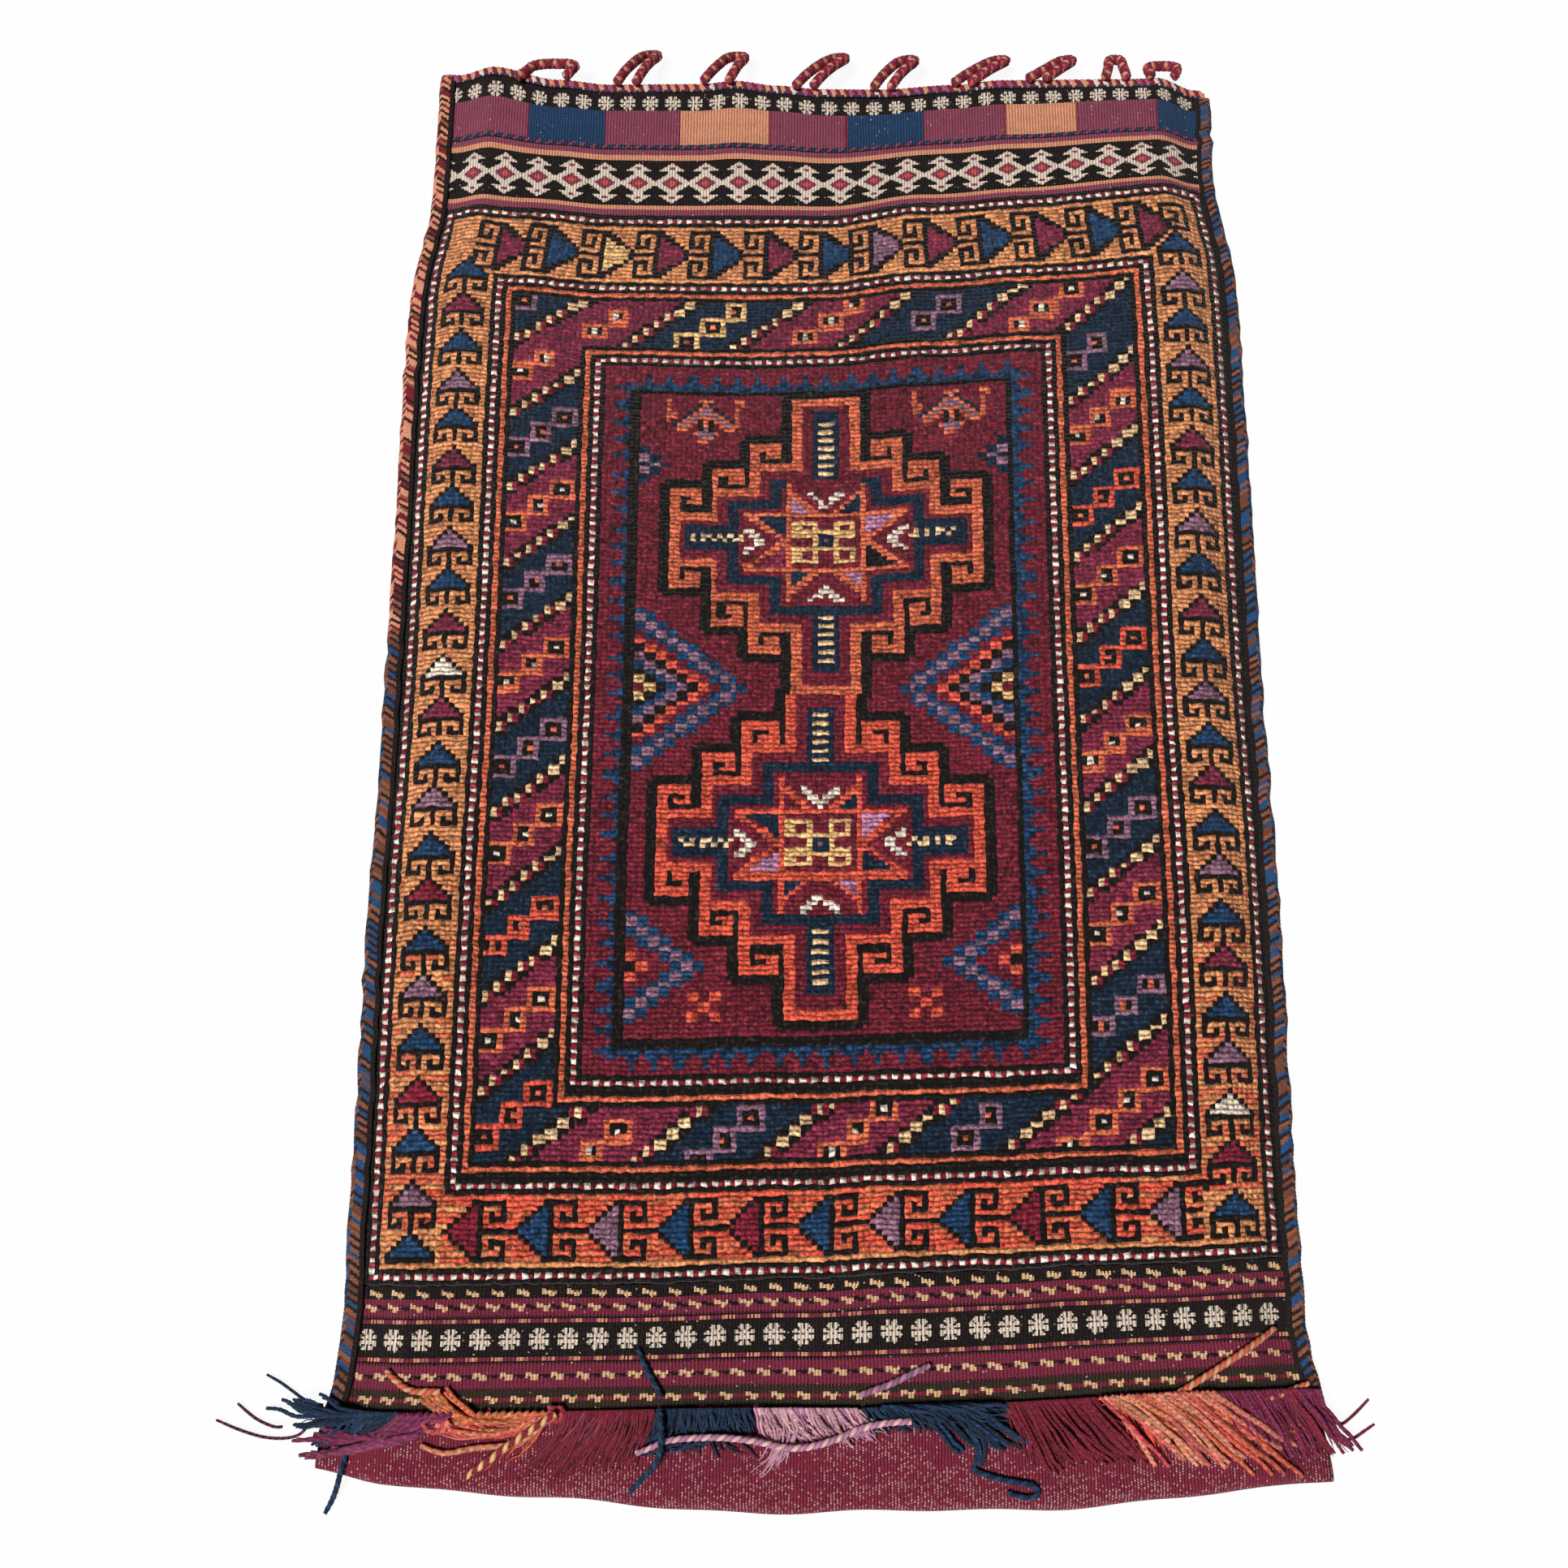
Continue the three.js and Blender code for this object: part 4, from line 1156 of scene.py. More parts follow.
@dataclass
class FrontCloth:
    """The front's three bands: lower flatweave, pile panel and upper flatweave, on one wandering weave."""

    cell: float = 1.1
    seam: float = 0.3
    pile_shake: float = 0.65
    flat_shake: float = 0.08
    seed: int = 7

    def grid(self, levels: Array, columns: int, rise: float, rng: np.random.Generator,
             shake: float) -> tuple[Array, Array]:
        """Points of one band's face and of its underside.

        Across, the columns are spread evenly between the bindings, with one more column tucked under each
        binding. Along, each level wanders by the plan's wave. The face lies at the cloth's height plus the
        rise, slow ripples and a chance shake.

        Args:
            levels: Levels of the rows.
            columns: Cells across.
            rise: Height of the pile over the cloth.
            rng: Source of chance.
            shake: Largest chance move of a point.

        Returns:
            The grid of the face and the thinned grid of the underside.
        """
        half = PLAN.half_width(levels)[:, None]
        inner = half - PLAN.binding - self.seam
        share = np.linspace(-1.0, 1.0, columns + 1)[None]
        x = np.concatenate([-(half - PLAN.tuck), share * inner, half - PLAN.tuck], axis=1)
        y = np.broadcast_to(levels[:, None], x.shape)
        inset = half - np.abs(x)
        ripple = 0.8 * np.sin(x / 47.0 + y / 90.0) + 0.6 * np.sin(x / 21.0 - y / 55.0)
        soft = smooth((inset - PLAN.binding - 0.2) / 5.0)
        z = PLAN.front_top(inset, y) + rise * soft + ripple * soft
        face = np.stack([x, y + PLAN.wave(x, y), z], axis=-1)
        moves = rng.uniform(-1.0, 1.0, size=face.shape) * np.array([shake, shake, shake * 0.7])
        face[:, 2:-2] += moves[:, 2:-2]
        underside = face.copy()
        underside[..., 2] = PLAN.front_bottom(inset, y)
        return face, thinned(underside)

    def band(self, levels: Array, chart: Chart, rise: float, shake: float, speckle: float,
             abrash: float) -> Skin:
        """Closed skin of one band, its chart's top row at the far level.

        Its map counts knots on pile, and millimetres on flatweave. A second map fills the whole image.

        Args:
            levels: Levels of the rows.
            chart: The painted pattern.
            rise: Height of the pile over the cloth, zero on flatweave.
            shake: Largest chance move of a point.
            speckle: Spread of the lightness from cell to cell.
            abrash: Spread of the lightness from dye lot to dye lot.

        Returns:
            The skin.
        """
        rng = np.random.default_rng(self.seed)
        face, underside = self.grid(levels, chart.columns, rise, rng, shake)
        rows, columns = face.shape[:2]
        tones = chart.tones(rng, speckle, abrash)[::-1]
        tones = np.concatenate([tones[:, :1], tones, tones[:, -1:]], axis=1)
        skin = shell(face, underside, tones.reshape(-1, 3), Dye.MAROON.tone)
        weave = face[..., :2]
        if rise:
            weave = np.stack(np.meshgrid(np.arange(columns) - 1.0, np.arange(rows) * 1.0)[::-1], axis=-1)
        spread = np.meshgrid(*(np.linspace(0.004, 0.996, count) for count in (columns, rows)))
        spread = np.stack(spread, axis=-1)
        skin.weave, skin.fills_image = (
            np.concatenate([grid.reshape(-1, 2), thinned(grid).reshape(-1, 2)]) for grid in (weave, spread))
        return skin

    def pile(self) -> Skin:
        """The knotted panel, one cell to a knot."""
        chart = PilePattern()
        levels = np.linspace(0.0, PLAN.pile_length, chart.rows + 1)
        return self.band(levels, chart, PLAN.pile, self.pile_shake, 0.2, 0.06)

    def flatweave(self, pattern: type[Chart], low: float, high: float, length: float, columns: int,
                  reach: float) -> Skin:
        """One flatweave band, with cells of about the cell's size."""
        rows = 2 * round(length / self.cell / 2)
        chart = pattern(columns, rows, -reach, column_size=2.0 * reach / columns, row_size=length / rows)
        return self.band(np.linspace(low, high, rows + 1), chart, 0.0, self.flat_shake, 0.06, 0.03)

    def upper(self) -> Skin:
        """The upper flatweave, from the pile to the mouth."""
        low = PLAN.pile_length + PLAN.clear
        return self.flatweave(UpperPattern, low, PLAN.mouth, PLAN.upper_band, 526, 288.0)

    def lower(self) -> Skin:
        """The lower flatweave, from the fringe to the pile."""
        return self.flatweave(LowerPattern, -PLAN.lower_band, -PLAN.clear, PLAN.lower_band, 520, 284.0)


def rosette(across: Array, along: Array, size: float) -> Array:
    """Mask of a small flower of eight petals.

    The petals end in rounds, where the eighth turns of the sine are widest. Narrow gaps between them reach
    from the rim to a whole middle, and the gaps on the diagonals are the wider ones.
    """
    reach, angle = np.hypot(across, along), np.arctan2(along, across)
    rim = size * (0.74 + 0.26 * np.sqrt(np.abs(np.sin(4.0 * angle))))
    wide, high = np.abs(across), np.abs(along)
    straight = ((wide < 0.55) | (high < 0.55)) & (reach > size * 0.42)
    slanting = (np.abs(wide - high) < 0.95) & (reach > size * 0.5)
    return (reach < rim) & ~(straight | slanting)


def dashes(place: Array, down: Array, length: float = 8.2, pitch: float = 15.4) -> Array:
    """Mask of a row of short floats, each of two small bumps."""
    step = np.mod(place, pitch)
    bump = 0.9 + 0.8 * np.abs(np.cos(np.pi * step / length * 1.5))
    return (step < length) & (np.abs(down + 0.7 * np.sign(np.sin(2.1 * np.pi * step / length))) < bump)


@dataclass
class UpperPattern(Chart):
    """Flowers, colour blocks, stripes and a lattice under the mouth, in millimetres from the mouth."""

    flower_pitch: float = 17.2
    flower_level: float = 14.5
    unit: float = 25.6
    lattice_level: float = 81.3
    block_span: tuple[float, float] = (21.0, 49.6)
    blocks: tuple = ((-600.0, Dye.ROSE), (-227.0, Dye.BLUE), (-167.0, Dye.ROSE), (-110.0, Dye.SALMON),
                     (-41.5, Dye.ROSE), (17.5, Dye.BLUE), (77.0, Dye.ROSE), (140.0, Dye.SALMON),
                     (194.0, Dye.ROSE), (256.0, Dye.BLUE))
    stripes: tuple = ((54.2, 58.6, Dye.ROSE), (58.6, 62.6, Dye.SALMON), (99.4, 103.4, Dye.SALMON),
                      (103.4, 108.6, Dye.ROSE))
    combed: tuple = ((54.2, Dye.ROSE), (58.6, Dye.SALMON), (103.4, Dye.ROSE), (108.6, Dye.NIGHT))

    def draw(self) -> None:
        """Paint the band from the mouth down."""
        x, down = self.c, self.r
        step = np.mod(x + 4.0, self.flower_pitch) - self.flower_pitch / 2
        self.paint(rosette(step, down - self.flower_level, 6.3), Dye.CREAM)
        self.paint((np.abs(step) < 0.9) & (np.abs(down - self.flower_level) < 0.6), Dye.ROSE)
        block = (down > self.block_span[0]) & (down < self.block_span[1])
        for left, dye in self.blocks:
            self.paint((x >= left) & block, dye)
        for left, _ in self.blocks[1:]:
            self.paint((np.abs(x - left) < 0.6) & block, Dye.MAROON)
        stitch = np.mod(x + down * 1.2, 8.6)
        line = (down > 49.8) & (down < 52.4)
        self.paint(line & (stitch < 3.4), Dye.BLUE)
        self.paint(line & (stitch > 4.3) & (stitch < 7.6), Dye.ROSE)
        for top, low, dye in self.stripes:
            self.paint((down > top) & (down < low), dye)
        comb = np.mod(x, 2.2) < 1.1
        for level, dye in self.combed:
            self.paint((np.abs(down - level) < 0.7) & comb, dye)
        self.lattice(x, down - self.lattice_level)

    def lattice(self, x: Array, lift: Array) -> None:
        """Paint the chain of cream diamonds, each with a stepped cap over and under it."""
        step = np.abs(np.mod(x, self.unit) - self.unit / 2)
        high = np.abs(lift)
        diamond = step / 12.8 + high / 8.6
        cap = (high > 7.0) & (high < 16.4) & (step < np.where(high < 10.2, 3.6, (16.6 - high) * 1.5))
        self.paint((diamond < 1.16) & (step < self.unit), Dye.CREAM)
        self.paint((high < 1.6) & (step > 10.6), Dye.CREAM)
        self.paint(diamond < 0.66, Dye.ROSE)
        self.paint((diamond > 0.44) & (diamond < 0.52), Dye.MAROON)
        self.paint(((step < 2.4) & (high < 0.8)) | ((step < 0.8) & (high < 2.6)), Dye.CORAL)
        self.paint(cap, Dye.CREAM)
        self.paint((np.abs(high - 12.2) < 1.3) & (step < 2.6 - np.abs(high - 12.2)), Dye.ROSE)


@dataclass
class LowerPattern(Chart):
    """Dashed rows, plum stripes and one row of rosettes over the fringe, in millimetres from the pile."""

    rosette_pitch: float = 17.8
    rosette_level: float = 31.9
    stripes: tuple[tuple[float, float], ...] = ((8.2, 18.2), (46.6, 59.6))
    hem_stripe: float = 61.0
    hem_row: float = 66.0

    def draw(self) -> None:
        """Paint the band from the pile down."""
        x, down = self.c, self.r
        comb = np.mod(x, 2.2) < 1.1
        self.paint(down > self.hem_stripe, Dye.OLIVE)
        for top, low in self.stripes:
            self.paint((down > top) & (down < low), Dye.PLUM)
            self.paint(((np.abs(down - top) < 0.8) | (np.abs(down - low) < 0.8)) & comb, Dye.PLUM)
        for level, shift in ((12.8, 5.0), (53.0, 9.0)):
            line = dashes(x + shift + 7.7, down - level, 7.6)
            self.paint(line & (np.abs(down - level) < 1.3), Dye.NIGHT)
            self.paint(dashes(x + shift, down - level), Dye.STRAW)
        self.paint(dashes(x + 2.0, down - 4.8), Dye.STRAW)
        hem = dashes(x, down - self.hem_row)
        self.paint((np.abs(down - self.hem_row) < 1.0) & ~hem, Dye.MAROON)
        self.paint(hem, Dye.STRAW)
        for level in (21.4, 43.0):
            line = np.abs(down - level) < 1.0
            self.paint(line, Dye.PLUM)
            self.paint(line & (np.mod(x, 15.4) < 8.0) & (np.mod(x, 2.6) < 1.9), Dye.SALMON)
        step = np.mod(x + 3.0, self.rosette_pitch) - self.rosette_pitch / 2
        self.paint(rosette(step, down - self.rosette_level, 6.6), Dye.CREAM)
        self.paint((np.abs(step) < 0.9) & (np.abs(down - self.rosette_level) < 0.7), Dye.PLUM)


@dataclass
class BackCloth:
    """The plain-woven back, which comes round the bottom fold as the apron."""

    columns: int = 120
    back_rows: int = 181
    apron_rows: int = 26
    turn_rows: int = 11
    floor_rows: int = 8
    seed: int = 11

    def cloth(self, over: Array, under: Array, seed: int) -> Skin:
        """Skin of plain weave, with a slight chance lightness for each face, and its map not yet laid."""
        count = (over.shape[0] - 1) * (over.shape[1] - 1)
        light = 1.0 + 0.06 * np.random.default_rng(seed).normal(size=(count, 1))
        return shell(over, thinned(under), Dye.CLOTH.tone * light, Dye.CLOTH.tone)

    def back(self) -> Skin:
        """The flat back, from the fringe's level to the mouth."""
        levels = np.linspace(-PLAN.lower_band, PLAN.mouth, self.back_rows)[:, None]
        x = np.linspace(-1.0, 1.0, self.columns + 1)[None] * (PLAN.half_width(levels) - PLAN.tuck)
        y = np.broadcast_to(levels, x.shape)
        y = y + PLAN.wave(x, y) * (levels > PLAN.pile_length)
        over, under = (np.stack([x, y, np.full_like(x, z)], axis=-1) for z in (PLAN.back, 0.0))
        skin = self.cloth(over, under, self.seed)
        skin.weave = skin.points[:, :2].copy()
        return skin

    def apron(self) -> Skin:
        """The apron: from under the fringe out to the hem, round the fold and back along the floor.

        Each row has a run along the cloth. On the flat it lies at the apron's height, round the fold at the
        turn's middle plus its radius times sine and cosine, and then on the floor.
        """
        share = np.linspace(-1.0, 1.0, self.columns + 1)
        corner_half = PLAN.half_width(np.array([PLAN.corner]))[0] - PLAN.tuck
        corner_x = share * corner_half
        corner_inset = corner_half + PLAN.tuck - np.abs(corner_x)
        radius = (PLAN.loft(corner_inset, np.full_like(corner_x, PLAN.corner)) + PLAN.back) / 2.0
        hem = (PLAN.corner - PLAN.hem_bow(corner_x) + 1.2 * np.sin(corner_x / 31.0)
               + 0.7 * np.sin(corner_x / 13.0))
        turn = hem + radius + PLAN.back / 2.0
        start = np.full_like(corner_x, -PLAN.lower_band - PLAN.clear)
        rows = []
        for r in np.linspace(0.0, 1.0, self.apron_rows)[:-1]:
            y = start + (turn - start) * r
            half = PLAN.half_width(y)
            inset = half - np.abs(share * (half - PLAN.tuck))
            rows.append((y, PLAN.back + PLAN.loft(inset, y) + PLAN.back / 2.0, (0.0, 1.0), start - y))
        for angle in np.linspace(0.0, np.pi, self.turn_rows):
            rows.append((turn - radius * np.sin(angle), PLAN.back / 2.0 + radius * (1.0 + np.cos(angle)),
                         (-np.sin(angle), np.cos(angle)), start - turn + radius * angle))
        for r in np.linspace(0.0, 1.0, self.floor_rows)[1:]:
            rows.append((turn + (start - turn) * r, np.full_like(turn, PLAN.back / 2.0), (0.0, -1.0),
                         start - turn + radius * np.pi + (start - turn) * r))
        y, z, run = (np.array([row[part] for row in rows]) for part in (0, 1, 3))
        x = share[None] * (PLAN.half_width(y) - PLAN.tuck)
        middle = np.stack([x, y, z], axis=-1)
        push = np.array([(0.0, *row[2]) for row in rows])[:, None] * PLAN.back / 2.0
        outside, inside = (middle + push)[::-1], (middle - push)[::-1]
        skin = self.cloth(outside, inside, self.seed + 1)
        weave = np.stack([x, -run], axis=-1)[::-1]
        skin.weave = np.concatenate([weave.reshape(-1, 2), thinned(weave).reshape(-1, 2)])
        return skin


def fading(count: int) -> Array:
    """Share for each point of a row, eased from nothing at both ends to one a few points in."""
    place = np.arange(count)
    return smooth(np.minimum(place, place[::-1]) / 3.0)


def wander(place: Array, knots: Array, rng: np.random.Generator) -> Array:
    """Chance values at knots, joined straight between them."""
    return np.interp(place, knots, rng.normal(size=len(knots)))


def picked(mask: Array, held: Array, other: Array) -> Array:
    """Colours by a mask: the first where it holds, and the other where it doesn't."""
    return np.where(mask[..., None], held, other)


@dataclass
class EdgeWraps:
    """Overcast edges: yarn wrapped round the selvages and the mouth."""

    pitch: float = 2.6
    mouth_pitch: float = 3.6
    back_pitch: float = 4.0
    swell: float = 0.8
    ridge: float = 0.55
    warm_from: float = 420.0
    seed: int = 23

    def section(self, depth: float, wall: float, height: float, lip_under: bool, count: int) -> Array:
        """Even points round the section of an edge, from under its inner side round the outside to its lip.

        Args:
            depth: Width of the edge.
            wall: Width of its outer wall, which bulges where no lip goes under.
            height: Height of the edge.
            lip_under: Whether a lip goes under the cloth too.
            count: Number of points.

        Returns:
            The points, each as its place outward and its height.
        """
        radius = height / 2.0
        bulge = min(radius, depth / 2.0) if lip_under else wall
        angle = np.linspace(-np.pi / 2.0, np.pi / 2.0, 16)
        arc = np.stack([bulge * (np.cos(angle) - 1.0), radius + radius * np.sin(angle)], axis=-1)
        start = [[-depth, 0.0]] if lip_under else []
        line = np.concatenate([np.array(start).reshape(-1, 2), arc, [[-depth, height]]])
        flat = np.concatenate([line, np.zeros((len(line), 1))], axis=1)
        return even(flat, count)[:, :2]

    def skin(self, path: Array, out: Array, base: Array, height: Array, section: Array, inner: Array,
             phase: Array, tones: Array) -> Skin:
        """Closed skin of an edge: the wrapped outside, and a plain inner side against the cloth.

        Each outside point is path + out times the section's width + up times its height, pushed out from
        the section's middle by the swell of the wrap that its phase falls in.

        Args:
            path: Points along the edge.
            out: Outward direction at each of them.
            base: Height of the edge's underside at each.
            height: Stretch of the section upward at each.
            section: Points round the outside, outward and up.
            inner: Points of the inner side, outward and up.
            phase: Wraps counted so far, for each point of the outside.
            tones: Colours of the outside's quads.

        Returns:
            The skin.
        """
        away = section - np.array([section[:, 0].min(), section[:, 1].max()]) * 0.5
        away /= np.linalg.norm(away, axis=1, keepdims=True)
        lift = self.swell * (np.abs(np.sin(np.pi * phase)) ** 0.6 - 0.45) * fading(len(section))[None]
        wide = section[None, :, 0] + away[None, :, 0] * lift
        tall = (section[None, :, 1] + away[None, :, 1] * lift) * height[:, None]
        outer = path[:, None] + out[:, None] * wide[..., None]
        outer[..., 2] = base[:, None] + tall
        lining = path[:, None] + out[:, None] * inner[None, :, :1]
        lining[..., 2] = base[:, None] + inner[None, :, 1] * height[:, None]
        ring = np.concatenate([outer, lining], axis=1)
        rings, sides = ring.shape[:2]
        quads, ends = tube_faces(rings, sides)
        wall = np.concatenate([tones, np.repeat(tones[:, -1:], sides - tones.shape[1], axis=1)], axis=1)
        return Skin(np.concatenate([ring.reshape(-1, 3), ring[[0, -1]].mean(axis=1)]), quads,
                    np.concatenate([wall.reshape(-1, 3), wall[0], wall[-1]]), ends)

    def side(self, side: Side) -> Skin:
        """Binding of one side: wraps that meet in a herringbone along its middle."""
        rng = np.random.default_rng(self.seed + side.value)
        y = np.arange(PLAN.corner + 24.0, PLAN.mouth, 0.6)
        x = side.value * PLAN.half_width(y)
        stray = wander(y, np.arange(-120.0, 1000.0, 9.0), rng) * 0.5
        path = np.stack([x + stray, y + PLAN.wave(x, y), np.zeros_like(y)], axis=-1)
        section = self.section(PLAN.binding, PLAN.binding_wall, PLAN.binding_height, False, 19)
        ceiling = PLAN.binding_height - PLAN.wrap
        inner = np.array([[-PLAN.binding, ceiling], [-PLAN.binding_wall, ceiling], [-PLAN.binding_wall, 0.2]])
        out = np.tile([side.value * 1.0, 0.0, 0.0], (len(y), 1))
        turn = np.linspace(0.0, 1.0, len(section))
        beyond = turn > self.ridge
        phase = y[:, None] / self.pitch + (5.4 * np.abs(turn - self.ridge))[None] + 0.5 * beyond[None]
        phase += wander(y, np.arange(-120.0, 1000.0, 15.0), rng)[:, None] * 0.4
        wrap = np.floor(phase[:-1, :-1]).astype(int)
        chance = rng.random(2000)[(wrap + 977 * beyond[None, :-1]) % 2000]
        swapped = (wrap + (chance < 0.2)) % 2 == 0
        warm = (y[:-1, None] > self.warm_from) & (side is Side.LEFT)
        light = picked(warm, picked(chance < 0.8, Dye.SALMON.tone, Dye.RUST.tone * 1.2),
                       picked(chance < 0.62, Dye.BLUE.tone * 1.5, Dye.RUST.tone * 1.2))
        dark = picked(warm, picked(chance < 0.6, Dye.MAROON.tone * 0.8, Dye.NIGHT.tone * 2.0),
                      picked(chance < 0.4, Dye.RUST.tone * 0.7, Dye.NIGHT.tone * 2.4))
        tones = picked(swapped, light, dark) * (0.85 + 0.3 * rng.random((*wrap.shape, 1)))
        tones = picked(turn[None, :-1] > 0.82, Dye.NIGHT.tone * 1.3, tones)
        skin = self.skin(path, out, np.zeros_like(y), np.ones_like(y), section, inner, phase, tones)
        return skin.turned() if side is Side.LEFT else skin

    def mouth_path(self, x: Array) -> Array:
        """Line that the mouth's edges go along, on the floor."""
        wave = PLAN.wave(x, np.full_like(x, PLAN.mouth + 2.0))
        return np.stack([x, PLAN.mouth + PLAN.clear + PLAN.roll_wall + wave, np.zeros_like(x)], axis=-1)

    def mouth_front(self) -> Skin:
        """Wrapped edge of the front at the mouth.

        Slanting wraps of salmon, cream and rose stand against maroon and plum, with blue stitches on the lip.
        """
        rng = np.random.default_rng(self.seed + 5)
        x = np.arange(-296.0, 297.0, 0.7)
        line = np.full_like(x, PLAN.mouth)
        inset = PLAN.half_width(line) - np.abs(x)
        base = np.maximum(PLAN.front_bottom(inset, line) - PLAN.lip, 0.0)
        height = PLAN.front_top(inset, line) + PLAN.lip - base
        unit = PLAN.front + 2 * PLAN.lip
        depth = PLAN.roll + PLAN.roll_wall
        section = self.section(depth, PLAN.roll_wall, unit, True, 17)
        inner = np.array([[-depth, unit - PLAN.wrap], [-PLAN.roll_wall, unit - PLAN.wrap],
                          [-PLAN.roll_wall, PLAN.wrap], [-depth, PLAN.wrap]])
        out = np.tile([0.0, 1.0, 0.0], (len(x), 1))
        phase = x[:, None] / self.mouth_pitch - 1.7 * np.linspace(0.0, 1.0, len(section))[None]
        phase += wander(x, np.arange(-310.0, 330.0, 20.0), rng)[:, None] * 0.4
        wrap = np.floor(phase[:-1, :-1]).astype(int)
        chance = rng.random(1000)[wrap % 1000]
        light = picked(chance < 0.55, Dye.SALMON.tone,
                       picked(chance < 0.75, Dye.CREAM.tone, Dye.ROSE.tone * 1.5))
        dark = picked(chance < 0.5, Dye.MAROON.tone, Dye.PLUM.tone * 0.8)
        stitch = (np.arange(wrap.shape[1])[None] > len(section) - 3) & (np.mod(x[:-1, None], 4.4) < 2.6)
        tones = picked(stitch, Dye.BLUE.tone * 0.9, picked(wrap % 2 == 0, light, dark))
        return self.skin(self.mouth_path(x), out, base, height / unit, section, inner, phase, tones)

    def mouth_back(self) -> Skin:
        """Wrapped edge of the back at the mouth, in maroon."""
        rng = np.random.default_rng(self.seed + 6)
        x = np.arange(-272.0, 272.1, 0.9)
        unit = PLAN.back + PLAN.lip
        depth = PLAN.roll + PLAN.roll_wall
        section = self.section(depth, PLAN.roll_wall, unit, False, 11)
        ceiling = unit - PLAN.wrap
        inner = np.array([[-depth, ceiling], [-PLAN.roll_wall, ceiling], [-PLAN.roll_wall, 0.2]])
        out = np.tile([0.0, 1.0, 0.0], (len(x), 1))
        phase = x[:, None] / self.back_pitch - 1.2 * np.linspace(0.0, 1.0, len(section))[None]
        wrap = np.floor(phase[:-1, :-1]).astype(int)
        tones = Dye.MAROON.tone * (0.7 + 0.6 * rng.random(1000)[wrap % 1000][..., None])
        base, height = np.zeros_like(x), np.ones_like(x)
        return self.skin(self.mouth_path(x), out, base, height, section, inner, phase, tones)


@dataclass
class ClosureLoop:
    """One braided loop of the mouth: six strands plaited round, bent over at the head."""

    number: int
    place: float
    feet: float
    lean: float
    reach: float
    head: float

    THICK = 7.5
    GAP = 2.4
    REACH = 38.0
    DROOP = 14.0
    PITCH = 11.0
    SIDES = 24
    LEG = ((0, 0), (0.3, 0.35), (0.62, 0.85), (0.84, 1))
    DYES = (Dye.MAROON, Dye.SALMON, Dye.PLUM, Dye.MAROON, Dye.ROSY, Dye.ROSE)

    def path(self) -> Array:
        """Route of the loop, from one foot over the head to the other."""
        half = PLAN.widths[-1][1] / 2.0
        place = self.place * half
        lean, reach = self.lean * self.REACH, self.reach * self.REACH
        closest = (self.THICK + self.GAP) / 2.0
        head = closest + self.head * self.REACH / 2.0
        feet = max(self.feet * self.REACH / 2.0, closest)
        inset = half - abs(place) + feet + self.THICK
        seat = float(PLAN.front_top(np.array(inset), np.array(PLAN.mouth))) + PLAN.lip
        top = seat + PLAN.clear + self.THICK / 2.0
        hinge = PLAN.mouth + PLAN.clear + PLAN.roll_wall - (PLAN.roll + PLAN.roll_wall) / 2.0
        right = [(along, feet + (head - feet) * across) for along, across in self.LEG] + [(0.96, head * 0.7)]
        left = [(along, -across) for along, across in right[::-1]]
        along, across = np.array(right + [(1.0, 0.0)] + left).T
        dip = float(PLAN.wave(np.array(place), np.array(PLAN.mouth))) - 1.0
        route = np.stack([place + lean * along - 0.86 * across,
                          hinge + reach * along + dip * (1.0 - along) ** 3,
                          top - self.DROOP * (reach * along / self.REACH) ** 2], axis=-1)
        return spline(route, 150)

    def skin(self, path: Array) -> Skin:
        """Plaited skin: radius swells where one of six strands crosses over another.

        Three strands wind each way. At each place the strand on top is the one whose turn it is, and the
        radius is three quarters of the thickness plus a quarter times the top strand's round back.
        """
        rng = np.random.default_rng(100 + self.number)
        run = np.linspace(0.0, line_length(path), len(path))[:, None] / self.PITCH
        angle = (np.arange(self.SIDES) / self.SIDES)[None]
        forth, back = 3.0 * (angle + run), 3.0 * (angle - run)
        over = np.mod(np.floor(forth) + np.floor(back), 2) == 0
        lobe = np.where(over, np.abs(np.sin(np.pi * forth)), np.abs(np.sin(np.pi * back)))
        radius = self.THICK / 2.0 * (0.74 + 0.3 * lobe ** 0.7)
        radius = radius * (0.35 + 0.65 * fading(len(path))[:, None])
        strand = np.where(over, np.mod(np.floor(forth), 3), 3 + np.mod(np.floor(back), 3)).astype(int)
        # Painted shade where the strands dip under each other and painted highlight on their round backs.
        tones = np.array([dye.tone for dye in self.DYES])[strand[:-1]] * (0.5 + 0.6 * lobe[:-1, :, None])
        tones = tones * (0.85 + 0.3 * rng.random((len(path) - 1, self.SIDES, 1)))
        return tubes(path[None], radius[None], tones[None])


LOOPS = (
    ClosureLoop(1, -0.727, 1.15, 0.3, 0.6, 0.75),
    ClosureLoop(2, -0.507, 0.45, 0.5, 1.1, 0.1),
    ClosureLoop(3, -0.277, 0.6, 0.45, 0.98, 0.18),
    ClosureLoop(4, -0.053, 0.42, 0.8, 0.9, 0.1),
    ClosureLoop(5, 0.147, 0.4, 0.62, 0.78, 0.12),
    ClosureLoop(6, 0.35, 0.4, 0.9, 0.78, 0.08),
    ClosureLoop(7, 0.54, 0.4, 0.75, 0.78, 0.06),
    ClosureLoop(8, 0.747, 0.5, 0.05, 0.8, 0.05),
    ClosureLoop(9, 0.867, 0.5, 0.02, 0.52, 0.42),
)


